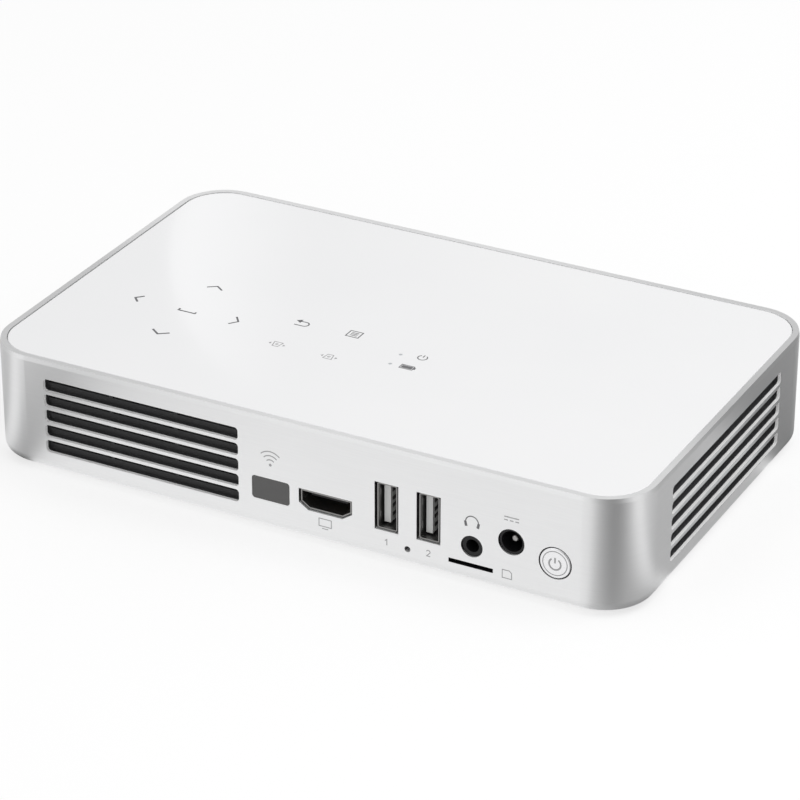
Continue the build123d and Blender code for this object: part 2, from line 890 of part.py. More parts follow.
with BuildPart() as usb_shell_2:
    usb_shell(usb_centres[1])

with BuildPart() as usb_tongue_1:
    usb_tongue(usb_centres[0])

with BuildPart() as usb_tongue_2:
    usb_tongue(usb_centres[1])

socket_body_depth = wall + board_wall_gap
with BuildPart() as headphone_jack:
    block(
        around(phone_x, phone_body_width / 2),
        depth_range(socket_body_depth, socket_body_depth + phone_body_depth),
        (board_top, board_top + phone_body_height),
    )
    rod(phone_x, phone_z, depth_range(port_recess, socket_body_depth), phone_nose_radius - nose_gap)
    phone_bore = depth_range(port_recess, port_recess + phone_bore_length)
    rod(phone_x, phone_z, phone_bore, phone_bore_radius, mode=Mode.SUBTRACT)

with BuildPart() as dc_jack:
    block(
        around(dc_x, dc_body_width / 2),
        depth_range(socket_body_depth, socket_body_depth + dc_body_depth),
        (board_top, board_top + dc_body_height),
    )
    rod(dc_x, dc_z, depth_range(port_recess, socket_body_depth), dc_nose_radius - nose_gap)
    dc_bore = depth_range(port_recess, port_recess + dc_bore_length)
    rod(dc_x, dc_z, dc_bore, dc_bore_radius, mode=Mode.SUBTRACT)

with BuildPart() as dc_pin:
    pin_range = depth_range(port_recess + dc_pin_recess, port_recess + dc_bore_length)
    rod(dc_x, dc_z, pin_range, dc_pin_radius)
    fillet(dc_pin.edges().group_by(Axis.Y)[0], dc_pin_round)

with BuildPart() as card_socket:
    socket_front = wall + card_setback
    block(
        around(card_x, card_socket_width / 2),
        depth_range(socket_front, socket_front + card_socket_depth),
        (board_under - card_socket_height, board_under),
    )
    block(
        around(card_x, card_slot_width / 2),
        depth_range(socket_front, socket_front + card_slot_depth),
        around(card_z, card_slot_height / 2),
        mode=Mode.SUBTRACT,
    )

with BuildPart() as power_button:
    flange_front = wall + power_flange_gap
    flange_back = flange_front + power_flange_thickness
    stem_back = flange_back + power_stem_length
    rod(power_x, power_z, depth_range(-power_proud, flange_back), power_radius)
    fillet(power_button.edges().group_by(Axis.Y)[0], power_edge_radius)
    rod(power_x, power_z, depth_range(flange_front, flange_back), power_flange_radius)
    rod(power_x, power_z, depth_range(flange_back, stem_back), power_stem_radius)

power_body = stem_back + plunger_reach
with BuildPart() as power_plunger:
    rod(power_x, power_z, depth_range(stem_back, stem_back + plunger_length), plunger_radius)

with BuildPart() as power_switch:
    block(
        around(power_x, power_switch_width / 2),
        depth_range(power_body, power_body + power_switch_depth),
        (board_top, board_top + power_switch_height),
    )
    plunger_pocket = depth_range(power_body, stem_back + plunger_length + plunger_room)
    rod(power_x, power_z, plunger_pocket, plunger_radius + plunger_gap, mode=Mode.SUBTRACT)

reset_body = reset_setback + reset_plunger_reach
with BuildPart() as reset_plunger:
    reset_range = depth_range(reset_setback, reset_setback + reset_plunger_length)
    rod(reset_x, reset_z, reset_range, reset_plunger_radius)

with BuildPart() as reset_switch:
    block(
        around(reset_x, reset_switch_width / 2),
        depth_range(reset_body, reset_body + reset_switch_depth),
        (board_under - reset_switch_height, board_under),
    )
    reset_pocket = depth_range(reset_body, reset_setback + reset_plunger_length + reset_plunger_room)
    rod(reset_x, reset_z, reset_pocket, reset_plunger_radius + reset_plunger_gap, mode=Mode.SUBTRACT)

with BuildPart() as ir_window:
    with BuildSketch(rear_face()):
        with Locations((ir_x, ir_z)):
            RectangleRounded(ir_width - 2 * ir_gap, ir_height - 2 * ir_gap, ir_corner - ir_gap)
    extrude(amount=-wall)
    with BuildSketch(rear_face(wall)):
        with Locations((ir_x, ir_z)):
            RectangleRounded(ir_width + 2 * ir_flange_margin, ir_height + 2 * ir_flange_margin, ir_corner)
    extrude(amount=-ir_flange_thickness)

with BuildPart() as ir_receiver:
    block(
        around(ir_x, ir_receiver_width / 2),
        depth_range(ir_receiver_setback, ir_receiver_setback + ir_receiver_depth),
        (board_top, board_top + ir_receiver_height),
    )
    with Locations((ir_x, ir_receiver_setback - half_depth, ir_z)):
        Sphere(ir_dome_radius)

with BuildPart() as processor:
    block(around(chip_x, chip_size / 2), around(chip_y, chip_size / 2), (board_top, board_top + chip_height))

sink_under = board_top + chip_height
with BuildPart() as processor_heatsink:
    block(around(chip_x, sink_size / 2), around(chip_y, sink_size / 2), (sink_under, sink_under + sink_base))
    fin_step = (sink_size - sink_fin_thickness) / (sink_fin_count - 1)
    with BuildSketch(Plane.XY.offset(sink_under + sink_base)):
        with Locations((chip_x, chip_y)):
            with GridLocations(fin_step, sink_size, sink_fin_count, 1):
                Rectangle(sink_fin_thickness, sink_size)
    extrude(amount=sink_fin_height)

# ---- touch board ----
touch_under = cover_bottom - touch_thickness
with BuildPart() as touch_board:
    with BuildSketch(Plane.XY.offset(touch_under)):
        with Locations(((touch_left + touch_right) / 2, (touch_rear_y + touch_front_y) / 2)):
            RectangleRounded(touch_right - touch_left, touch_front_y - touch_rear_y, touch_corner)
    extrude(amount=touch_thickness)

with BuildPart() as indicator_lenses:
    post(indicator_spots, cover_bottom, cover_top, indicator_radius)

with BuildPart() as touch_flex:
    block(
        around(flex_x, flex_width / 2),
        around(flex_y, flex_thickness / 2),
        (board_top, touch_under),
    )

# ---- cooling ----
fan_z = floor_top + fan_size / 2

with BuildPart() as fin_stack:
    stack_length = fan_pitch + fan_size + 2 * fin_margin
    stack_x = around(fan_middle_x, stack_length / 2)
    block(stack_x, fin_y, (pipe_bottom - fin_base, pipe_bottom))
    fin_count = int((stack_length - fin_thickness) // fin_pitch) + 1
    with BuildSketch(Plane.XY.offset(floor_top)):
        with Locations((fan_middle_x, (fin_y[0] + fin_y[1]) / 2)):
            with GridLocations(fin_pitch, fin_depth, fin_count, 1):
                Rectangle(fin_thickness, fin_depth)
    extrude(amount=pipe_bottom - fin_base - floor_top)

with BuildPart() as heat_pipes:
    with BuildSketch(Plane(origin=(0, fin_y[0], 0), x_dir=(-1, 0, 0), z_dir=(0, 1, 0))):
        with Locations((-fan_middle_x, pipe_bottom + pipe_thickness / 2)):
            with GridLocations(pipe_pitch, pipe_thickness, 2, 1):
                SlotOverall(pipe_width, pipe_thickness)
    extrude(amount=pipe_length)


def fan_frame(x):
    """A square fan frame with a round duct, and a motor base on struts at its inner side."""
    inner = Plane(origin=(0, fan_y[1], 0), x_dir=(-1, 0, 0), z_dir=(0, 1, 0))
    with BuildSketch(inner) as frame:
        with Locations((-x, fan_z)):
            RectangleRounded(fan_size, fan_size, fan_corner)
            Circle(fan_bore_radius, mode=Mode.SUBTRACT)
    extrude(frame.sketch, amount=-fan_thickness)
    with BuildSketch(inner) as struts:
        with Locations((-x, fan_z)):
            Circle(fan_base_radius)
            with PolarLocations(0, fan_strut_count, start_angle=45):
                with Locations(((fan_bore_radius + fan_strut_overlap) / 2, 0)):
                    Rectangle(fan_bore_radius + fan_strut_overlap, fan_strut_width)
    extrude(struts.sketch, amount=-fan_base_thickness)
    post_y = (fan_y[1] - fan_base_thickness - fan_hub_length + fan_hub_wall + fan_end_gap, fan_y[1])
    rod(x, fan_z, post_y, fan_post_radius)
    rod(x, fan_z, post_y, fan_shaft_radius + fan_shaft_gap, mode=Mode.SUBTRACT)


def fan_rotor(x):
    """A cup with twisted blades, turning on a thin shaft inside the frame's post."""
    hub_back = fan_y[1] - fan_base_thickness - fan_end_gap
    hub_front = hub_back - fan_hub_length
    rod(x, fan_z, (hub_front, hub_back), fan_hub_radius)
    rod(x, fan_z, (hub_front + fan_hub_wall, hub_back), fan_hub_radius - fan_hub_wall, mode=Mode.SUBTRACT)
    rod(x, fan_z, (hub_front, fan_y[1] - fan_end_gap), fan_shaft_radius)
    middle = (hub_front + hub_back) / 2
    tip_radius = fan_bore_radius - fan_tip_gap
    root_radius = fan_hub_radius - fan_hub_wall / 2
    for blade in range(fan_blade_count):
        turn = 2 * pi * blade / fan_blade_count
        outward = Vector(cos(turn), 0, sin(turn))
        sideways = Vector(-sin(turn), 0, cos(turn))
        sections = []
        for radius, chord, pitch in (
            (root_radius, fan_blade_root, fan_root_pitch),
            (tip_radius, fan_blade_tip, fan_tip_pitch),
        ):
            lean = Vector(0, 1, 0) * sin(radians(pitch)) + sideways * cos(radians(pitch))
            centre = Vector(x, middle, fan_z) + outward * radius
            with BuildSketch(Plane(origin=centre, x_dir=lean, z_dir=outward)) as section:
                Rectangle(chord, fan_blade_thickness)
            sections.append(section.sketch)
        loft(sections, ruled=True)


with BuildPart() as fan_frame_1:
    fan_frame(fan_centres[0])

with BuildPart() as fan_frame_2:
    fan_frame(fan_centres[1])

with BuildPart() as fan_rotor_1:
    fan_rotor(fan_centres[0])

with BuildPart() as fan_rotor_2:
    fan_rotor(fan_centres[1])

# ---- light engine ----
with BuildPart() as engine_housing:
    block(engine_block_x, engine_block_y, (engine_under, engine_top))
    fillet(engine_housing.edges().filter_by(Axis.Z), engine_edge_radius)
    # screw lugs
    for x, y in engine_spots:
        side = 0 if x < lens_x else 1
        inner_x = engine_block_x[side] + engine_lug_overlap * (1 - 2 * side)
        lug_x = (min(x, inner_x), max(x, inner_x))
        lug_z = (engine_under, engine_under + engine_lug_height)
        block(lug_x, around(y, engine_lug_radius), lug_z)
        post([(x, y)], *lug_z, engine_lug_radius)
    post(
        engine_spots,
        engine_under,
        engine_under + engine_lug_height,
        engine_screw_radius + screw_hole_gap,
        mode=Mode.SUBTRACT,
    )
    # the lens tube, with the groove that keeps the focus ring on it
    snout_y = (engine_front_y, engine_front_y + snout_length)
    rod(lens_x, lens_z, snout_y, snout_radius)
    rod(lens_x, lens_z, (engine_front_y, ring_rear_y - ring_gap), collar_radius)
    rod(lens_x, lens_z, (snout_y[0] - snout_depth, snout_y[1]), snout_bore_radius, mode=Mode.SUBTRACT)
    clip_y = (ring_front_y + clip_gap, ring_front_y + clip_gap + clip_width)
    with BuildSketch(lens_section()):
        with BuildLine():
            Polyline(
                (snout_radius - clip_groove, clip_y[0]),
                (clip_radius, clip_y[0]),
                (clip_radius, clip_y[1]),
                (snout_radius - clip_groove, clip_y[1]),
                close=True,
            )
        make_face()
    revolve(axis=Axis((lens_x, 0, lens_z), (0, 1, 0)), mode=Mode.SUBTRACT)

with BuildPart() as engine_screws:
    screws(
        engine_spots,
        engine_under + engine_lug_height,
        engine_head_radius,
        engine_head_height,
        engine_screw_radius,
        engine_under + engine_lug_height - engine_pilot - engine_screw_spare,
    )

with BuildPart() as heat_spreader:
    spreader_y = (engine_rear_y, engine_rear_y + spreader_length)
    block(around(fan_middle_x, spreader_width / 2), spreader_y, (engine_top, pipe_bottom))

led_z = around(lens_z - led_drop, led_size / 2)
with BuildPart() as red_led_module:
    led_x = (engine_block_x[1], engine_block_x[1] + led_thickness)
    block(led_x, around(led_middle_y - led_spacing / 2, led_size / 2), led_z)
    chamfer(red_led_module.faces().sort_by(Axis.X)[-1].edges(), led_chamfer)

with BuildPart() as green_led_module:
    block(led_x, around(led_middle_y + led_spacing / 2, led_size / 2), led_z)
    chamfer(green_led_module.faces().sort_by(Axis.X)[-1].edges(), led_chamfer)

with BuildPart() as blue_led_module:
    block(around(lens_x, led_size / 2), (engine_rear_y - led_thickness, engine_rear_y), led_z)
    chamfer(blue_led_module.faces().sort_by(Axis.Y)[0].edges(), led_chamfer)

with BuildPart() as dmd_board:
    block(
        (engine_block_x[0] - dmd_board_thickness, engine_block_x[0]),
        around(engine_middle_y - dmd_board_shift, dmd_board_length / 2),
        around(lens_z + dmd_board_rise, dmd_board_height / 2),
    )

# ---- projection lens and focus drive ----
barrel_radius = snout_bore_radius - barrel_gap
barrel_front = half_depth - barrel_set_back
barrel_rear = barrel_front - barrel_length
lens_turn = Axis((lens_x, 0, lens_z), (0, 1, 0))

with BuildPart() as lens_barrel:
    with BuildSketch(lens_section()):
        with BuildLine():
            front_seat = barrel_front - retainer_length - lens_edge
            rear_seat = barrel_rear + lens_edge
            Polyline(
                (barrel_bore_radius, rear_seat),
                (lens_radius, rear_seat),
                (lens_radius, barrel_rear),
                (barrel_radius, barrel_rear),
                (barrel_radius, barrel_front),
                (lens_radius, barrel_front),
                (lens_radius, front_seat),
                (barrel_bore_radius, front_seat),
                close=True,
            )
        make_face()
    revolve(axis=lens_turn)


def lens_element(low, high, crown_low, crown_high):
    """A round lens whose two faces bulge by their crowns."""
    clear = barrel_bore_radius - lens_rim_gap

    def bulge(crown):
        """How far a spherical face stands out halfway to its edge."""
        face_radius = (clear**2 + crown**2) / (2 * crown)
        return crown - face_radius + sqrt(face_radius**2 - clear**2 / 4)

    with BuildSketch(lens_section()) as half:
        with BuildLine():
            Line((0, low - crown_low), (0, high + crown_high))
            top_middle = (clear / 2, high + bulge(crown_high))
            ThreePointArc((0, high + crown_high), top_middle, (clear, high))
            Polyline((clear, high), (lens_radius, high), (lens_radius, low), (clear, low))
            low_middle = (clear / 2, low - bulge(crown_low))
            ThreePointArc((clear, low), low_middle, (0, low - crown_low))
        make_face()
    revolve(half.sketch, axis=lens_turn)


with BuildPart() as front_lens:
    lens_element(front_seat, front_seat + lens_edge, lens_inner_crown, lens_crown)

with BuildPart() as rear_lens:
    lens_element(barrel_rear, barrel_rear + lens_edge, lens_crown, lens_inner_crown)

with BuildPart() as lens_retainer:
    retainer_y = (barrel_front - retainer_length, barrel_front)
    rod(lens_x, lens_z, retainer_y, lens_radius)
    rod(lens_x, lens_z, retainer_y, barrel_bore_radius, mode=Mode.SUBTRACT)
    chamfer(lens_retainer.edges().group_by(Axis.Y)[-1].sort_by(SortBy.RADIUS)[0], retainer_chamfer)

with BuildPart() as focus_ring:
    ring_y = (ring_rear_y, ring_front_y)
    rod(lens_x, lens_z, ring_y, ring_hub_radius)
    # a gap between two teeth faces the wheel
    with BuildSketch(Plane(origin=(lens_x, gear_y[1], lens_z), x_dir=(1, 0, 0), z_dir=(0, -1, 0))):
        with BuildLine():
            Polyline(*gear_points(ring_teeth, pi - pi / ring_teeth), close=True)
        make_face()
    extrude(amount=gear_width)
    rod(lens_x, lens_z, ring_y, snout_radius + ring_gap, mode=Mode.SUBTRACT)

with BuildPart() as ring_clip:
    with BuildSketch(Plane(origin=(lens_x, clip_y[1], lens_z), x_dir=(1, 0, 0), z_dir=(0, -1, 0))):
        Circle(clip_radius)
        Circle(snout_radius - clip_groove + clip_seat_gap, mode=Mode.SUBTRACT)
        with BuildLine():
            far = 2 * clip_radius
            spread = far * tan(radians(clip_opening / 2))
            Polyline((0, 0), (spread, -far), (-spread, -far), close=True)
        make_face(mode=Mode.SUBTRACT)
    extrude(amount=clip_width)

with BuildPart() as focus_wheel:
    rim_plane = Plane(origin=(wheel_x, wheel_rim_y[1], lens_z), x_dir=(1, 0, 0), z_dir=(0, -1, 0))
    flute_points = []
    for step in range(2 * wheel_flutes):
        flute_radius = wheel_radius - (wheel_flute if step % 2 else 0)
        flute_turn = pi * step / wheel_flutes
        flute_points.append((flute_radius * cos(flute_turn), flute_radius * sin(flute_turn)))
    with BuildSketch(rim_plane):
        with BuildLine():
            Polyline(*flute_points, close=True)
        make_face()
    extrude(amount=wheel_rim_width)
    with BuildSketch(Plane(origin=(wheel_x, gear_y[1], lens_z), x_dir=(1, 0, 0), z_dir=(0, -1, 0))):
        with BuildLine():
            Polyline(*gear_points(wheel_teeth), close=True)
        make_face()
    extrude(amount=gear_width)
    rod(wheel_x, lens_z, wheel_y, wheel_pitch_radius - 2 * gear_module)
    rod(wheel_x, lens_z, wheel_y, axle_radius + wheel_bore_gap, mode=Mode.SUBTRACT)

ear_rear_y = (wheel_y[0] - wheel_side_gap - bracket_sheet, wheel_y[0] - wheel_side_gap)
ear_front_y = (wheel_y[1] + wheel_side_gap, wheel_y[1] + wheel_side_gap + bracket_sheet)
with BuildPart() as wheel_bracket:
    bracket_y = (ear_rear_y[0], ear_front_y[1])
    block(around(wheel_x, bracket_base_width / 2), bracket_y, (floor_top, floor_top + bracket_base))
    for ear in (ear_rear_y, ear_front_y):
        block(around(wheel_x, bracket_ear_width / 2), ear, (floor_top, lens_z))
        rod(wheel_x, lens_z, ear, bracket_ear_width / 2)
        rod(wheel_x, lens_z, ear, axle_radius, mode=Mode.SUBTRACT)

with BuildPart() as wheel_axle:
    rod(wheel_x, lens_z, bracket_y, axle_radius)

with BuildPart() as lens_bezel:
    flange_y = half_depth - wall
    with BuildSketch(lens_section()):
        with BuildLine():
            Polyline(
                (bezel_throat_radius, flange_y - bezel_flange_thickness),
                (bezel_flange_radius, flange_y - bezel_flange_thickness),
                (bezel_flange_radius, flange_y),
                (bezel_hole_radius - bezel_gap, flange_y),
                (bezel_hole_radius - bezel_gap, half_depth + bezel_proud),
                (bezel_mouth_radius, half_depth + bezel_proud),
                close=True,
            )
        make_face()
    revolve(axis=lens_turn)

# ---- battery and speaker ----
with BuildPart() as battery_pack:
    with BuildSketch(Plane.XY.offset(floor_top)):
        with Locations(battery_middle):
            RectangleRounded(battery_right - battery_left, battery_front_y - battery_rear_y, battery_corner)
    extrude(amount=battery_height)
    fillet(battery_pack.faces().sort_by(Axis.Z)[-1].edges(), battery_corner / 2)

driver_spots = [right_vent_y - driver_spacing / 2, right_vent_y + driver_spacing / 2]
driver_z = floor_top + speaker_height / 2
with BuildPart() as speaker_box:
    block(
        (speaker_front - speaker_thickness, speaker_front),
        around(right_vent_y, speaker_length / 2),
        (floor_top, floor_top + speaker_height),
    )
    fillet(speaker_box.edges().filter_by(Axis.X), speaker_corner)
    ledge_x = half_width - bottom_inset - ledge_width - speaker_gap
    above_ledge = (floor_top, floor_top + ledge_height)
    block((ledge_x, speaker_front), around(right_vent_y, speaker_length / 2), above_ledge, mode=Mode.SUBTRACT)
    for y in driver_spots:
        with Locations(Location((speaker_front, y, driver_z), (0, -90, 0))):
            pocket_size = (driver_radius + driver_gap, driver_depth + driver_gap)
            Cylinder(*pocket_size, align=STANDING, mode=Mode.SUBTRACT)


def speaker_driver(y):
    """A small loudspeaker: magnet at the back, frame, and a cone with a domed cap."""
    section = Plane(origin=(speaker_front, y, driver_z), x_dir=(0, 0, 1), z_dir=(0, 1, 0))
    with BuildSketch(section) as half:
        with BuildLine():
            Polyline(
                (0, -driver_depth - driver_gap),
                (driver_magnet_radius, -driver_depth - driver_gap),
                (driver_magnet_radius, -driver_depth / 2),
                (driver_radius, -driver_rim),
                (driver_radius, 0),
                (driver_cone_radius, 0),
                (driver_cap_radius, -driver_cone_depth),
                (0, -driver_cap_depth),
                close=True,
            )
        make_face()
    revolve(half.sketch, axis=Axis((speaker_front, y, driver_z), (1, 0, 0)))


with BuildPart() as speaker_driver_1:
    speaker_driver(driver_spots[0])

with BuildPart() as speaker_driver_2:
    speaker_driver(driver_spots[1])

# ---- one file for each piece ----
pieces = {
    "side_frame": side_frame,
    "top_cover": top_cover,
    "bottom_cover": bottom_cover,
    "rubber_feet": rubber_feet,
    "case_screws": case_screws,
    "tripod_insert": tripod_insert,
    "rear_grille": rear_grille,
    "right_grille": right_grille,
    "left_grille": left_grille,
    "main_board": main_board,
    "board_screws": board_screws,
    "hdmi_shell": hdmi_shell,
    "hdmi_tongue": hdmi_tongue,
    "usb_shell_1": usb_shell_1,
    "usb_shell_2": usb_shell_2,
    "usb_tongue_1": usb_tongue_1,
    "usb_tongue_2": usb_tongue_2,
    "headphone_jack": headphone_jack,
    "dc_jack": dc_jack,
    "dc_pin": dc_pin,
    "card_socket": card_socket,
    "power_button": power_button,
    "power_plunger": power_plunger,
    "power_switch": power_switch,
    "reset_plunger": reset_plunger,
    "reset_switch": reset_switch,
    "ir_window": ir_window,
    "ir_receiver": ir_receiver,
    "processor": processor,
    "processor_heatsink": processor_heatsink,
    "touch_board": touch_board,
    "indicator_lenses": indicator_lenses,
    "touch_flex": touch_flex,
    "fin_stack": fin_stack,
    "heat_pipes": heat_pipes,
    "fan_frame_1": fan_frame_1,
    "fan_frame_2": fan_frame_2,
    "fan_rotor_1": fan_rotor_1,
    "fan_rotor_2": fan_rotor_2,
    "engine_housing": engine_housing,
    "engine_screws": engine_screws,
    "heat_spreader": heat_spreader,
    "red_led_module": red_led_module,
    "green_led_module": green_led_module,
    "blue_led_module": blue_led_module,
    "dmd_board": dmd_board,
    "lens_barrel": lens_barrel,
    "front_lens": front_lens,
    "rear_lens": rear_lens,
    "lens_retainer": lens_retainer,
    "focus_ring": focus_ring,
    "ring_clip": ring_clip,
    "focus_wheel": focus_wheel,
    "wheel_bracket": wheel_bracket,
    "wheel_axle": wheel_axle,
    "lens_bezel": lens_bezel,
    "battery_pack": battery_pack,
    "speaker_box": speaker_box,
    "speaker_driver_1": speaker_driver_1,
    "speaker_driver_2": speaker_driver_2,
}
os.makedirs("parts", exist_ok=True)
for name, piece in pieces.items():
    piece.part.label = name
    export_step(piece.part, f"parts/{name}.step")
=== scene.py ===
"""Pocket projector: materials, printed symbols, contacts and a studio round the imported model."""
import math

import bmesh
import bpy
from mathutils import Matrix, Vector


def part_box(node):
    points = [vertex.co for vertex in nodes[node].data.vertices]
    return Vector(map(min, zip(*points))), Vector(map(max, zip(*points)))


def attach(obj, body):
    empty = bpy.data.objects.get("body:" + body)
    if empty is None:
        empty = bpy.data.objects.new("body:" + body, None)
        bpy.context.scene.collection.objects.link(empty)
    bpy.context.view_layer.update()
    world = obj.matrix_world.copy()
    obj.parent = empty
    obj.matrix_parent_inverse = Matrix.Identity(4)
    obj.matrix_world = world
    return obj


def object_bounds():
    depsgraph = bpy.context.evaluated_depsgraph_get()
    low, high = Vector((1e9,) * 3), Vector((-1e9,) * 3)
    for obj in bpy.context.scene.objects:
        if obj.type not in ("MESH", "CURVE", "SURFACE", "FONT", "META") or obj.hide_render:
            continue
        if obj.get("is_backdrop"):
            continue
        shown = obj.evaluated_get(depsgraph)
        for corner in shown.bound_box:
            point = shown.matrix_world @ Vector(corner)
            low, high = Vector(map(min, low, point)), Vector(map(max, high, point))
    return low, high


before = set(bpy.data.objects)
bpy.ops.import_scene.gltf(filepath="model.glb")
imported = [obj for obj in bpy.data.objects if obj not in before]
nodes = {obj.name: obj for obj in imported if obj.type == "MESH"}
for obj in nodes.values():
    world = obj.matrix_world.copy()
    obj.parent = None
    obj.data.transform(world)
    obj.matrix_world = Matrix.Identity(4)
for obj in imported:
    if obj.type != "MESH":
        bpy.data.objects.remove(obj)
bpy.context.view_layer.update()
MM = 0.001


# ---- node trees ----
class Tree:
    """The nodes of one tree, and short ways to make and join them."""

    def __init__(self, tree):
        self.tree = tree
        self.tree.nodes.clear()

    def node(self, kind, **values):
        made = self.tree.nodes.new(kind)
        for key, value in values.items():
            setattr(made, key, value)
        return made

    def join(self, source, target):
        """From one socket to another."""
        self.tree.links.new(source, target)

    def fill(self, field, value):
        """A number is set on the socket, and another socket is joined to it."""
        if isinstance(value, (int, float)):
            field.default_value = value
        elif value is not None:
            self.join(value, field)

    def maths(self, operation, first, second=None):
        made = self.node("ShaderNodeMath", operation=operation)
        self.fill(made.inputs[0], first)
        self.fill(made.inputs[1], second)
        return made.outputs[0]

    def mix(self, share, first, second):
        """The first value where the share is 0, the second where it is 1."""
        made = self.node("ShaderNodeMix", data_type="FLOAT")
        for field, value in (("Factor", share), ("A", first), ("B", second)):
            self.fill(made.inputs[field], value)
        return made.outputs[0]

    def mix_shaders(self, share, first, second):
        made = self.node("ShaderNodeMixShader")
        for field, value in zip(made.inputs, (share, first, second)):
            self.join(value, field)
        return made.outputs[0]

    def soft_step(self, source, start, end, low=0.0, high=1.0):
        """From low to high while the source goes from start to end."""
        made = self.node("ShaderNodeMapRange", interpolation_type="SMOOTHSTEP")
        limits = (("From Min", start), ("From Max", end), ("To Min", low), ("To Max", high))
        for field, value in limits:
            made.inputs[field].default_value = value
        self.join(source, made.inputs["Value"])
        return made.outputs[0]

    def levels(self, source, stops, ease="LINEAR"):
        """Grey levels by an angle in degrees; the source runs from 0 to 1 once round."""
        made = self.node("ShaderNodeValToRGB")
        made.color_ramp.interpolation = ease
        points = made.color_ramp.elements
        while len(points) < len(stops):
            points.new(0.5)
        for point, (turn, level) in zip(points, stops):
            point.position = (turn + 180) / 360
            point.color = (level, level, level, 1.0)
        self.join(source, made.inputs[0])
        return made.outputs["Color"]

    def compass(self, x, y):
        """The share of a full turn: 0.5 looks along -Y, and 0.75 along +X."""
        angle = self.maths("ARCTAN2", x, self.maths("MULTIPLY", y, -1.0))
        return self.maths("ADD", self.maths("DIVIDE", angle, 2 * math.pi), 0.5)

    def mirror_rays(self, path):
        """1 for rays that metal, gloss or glass sends on, and 0 for all others."""
        kinds = [path.outputs[kind] for kind in ("Is Glossy Ray", "Is Transmission Ray")]
        return self.maths("MAXIMUM", *kinds)


class Look(Tree):
    """A node material built round one shader."""

    def __init__(self, name):
        self.material = bpy.data.materials.new(name)
        self.material.use_nodes = True
        super().__init__(self.material.node_tree)
        self.shader = self.node("ShaderNodeBsdfPrincipled")
        self.output = self.node("ShaderNodeOutputMaterial")
        self.link(self.shader, "BSDF", self.output, "Surface")
        self.place = self.node("ShaderNodeTexCoord")

    def link(self, source, output, target, field):
        self.join(source.outputs[output], target.inputs[field])

    def set(self, **values):
        """Constants on the shader's own sockets, spaces written as underscores."""
        for key, value in values.items():
            self.shader.inputs[key.replace("_", " ")].default_value = value

    def parts(self):
        """The sockets of the place's x, y and z, in metres."""
        made = self.node("ShaderNodeSeparateXYZ")
        self.link(self.place, "Object", made, "Vector")
        return tuple(made.outputs[axis] for axis in "XYZ")

    def noise(self, scale, detail=3.0, roughness=0.55, stretch=None):
        made = self.node("ShaderNodeTexNoise")
        made.inputs["Scale"].default_value = scale
        made.inputs["Detail"].default_value = detail
        made.inputs["Roughness"].default_value = roughness
        if stretch:
            mapping = self.node("ShaderNodeMapping")
            mapping.inputs["Scale"].default_value = stretch
            self.link(self.place, "Object", mapping, "Vector")
            self.link(mapping, "Vector", made, "Vector")
        else:
            self.link(self.place, "Object", made, "Vector")
        return made

    def ramp(self, source, output, stops):
        made = self.node("ShaderNodeValToRGB")
        for point, (position, colour) in zip(made.color_ramp.elements, stops):
            point.position = position
            point.color = (*colour, 1.0)
        self.link(source, output, made, "Fac")
        return made

    def tone(self, source, stops):
        """The base colour: two tones by a noise."""
        self.link(self.ramp(source, "Fac", stops), "Color", self.shader, "Base Color")

    def overlay(self, share, below, colour):
        """A colour laid over another where the share is 1; the colours go in sockets 6 and 7."""
        made = self.node("ShaderNodeMix", data_type="RGBA")
        self.join(share, made.inputs[0])
        self.join(below, made.inputs[6])
        made.inputs[7].default_value = (*colour, 1.0)
        return made.outputs[2]

    def gloss(self, source, output, low, high, start=0.3, end=0.7):
        """The roughness: from low to high while the source goes from start to end."""
        made = self.node("ShaderNodeMapRange")
        made.inputs["From Min"].default_value = start
        made.inputs["From Max"].default_value = end
        made.inputs["To Min"].default_value = low
        made.inputs["To Max"].default_value = high
        self.link(source, output, made, "Value")
        self.link(made, "Result", self.shader, "Roughness")

    def bump(self, source, strength, distance, below=None):
        made = self.node("ShaderNodeBump")
        made.inputs["Strength"].default_value = strength
        made.inputs["Distance"].default_value = distance
        self.link(source, "Fac", made, "Height")
        if below:
            self.link(below, "Normal", made, "Normal")
        self.link(made, "Normal", self.shader, "Normal")
        return made


# ---- materials ----
def shade(colour, factor):
    return tuple(min(channel * factor, 1.0) for channel in colour)


def two_tones(colour, spread):
    return [(0.3, shade(colour, 1 - spread)), (0.7, shade(colour, 1 + spread))]


def moulded(name, colour, rough, grain, depth, spread, **constants):
    """Injection moulded plastic: faint flow marks, uneven gloss and a fine grain."""
    look = Look(name)
    look.tone(look.noise(45.0, 4.0), two_tones(colour, spread))
    fine = look.noise(grain, 2.0)
    look.gloss(fine, "Fac", *rough)
    look.bump(fine, 0.35, depth)
    look.set(**constants)
    return look.material


def metal(name, colour, rough, stretch, spread=0.05, depth=0.00001):
    """Worked metal: a grain stretched along the tool's path, with uneven shine."""
    look = Look(name)
    lines = look.noise(1.0, 5.0, 0.65, stretch=stretch)
    look.tone(lines, two_tones(colour, spread))
    look.gloss(lines, "Fac", *rough)
    look.bump(lines, 0.2, depth)
    look.set(Metallic=1.0)
    return look.material


def within(look, depth, side, low, high):
    """The depth where a side lies between two bounds, and 0 elsewhere."""
    for test, bound in (("GREATER_THAN", low), ("LESS_THAN", high)):
        depth = look.maths("MULTIPLY", depth, look.maths(test, side, bound))
    return depth


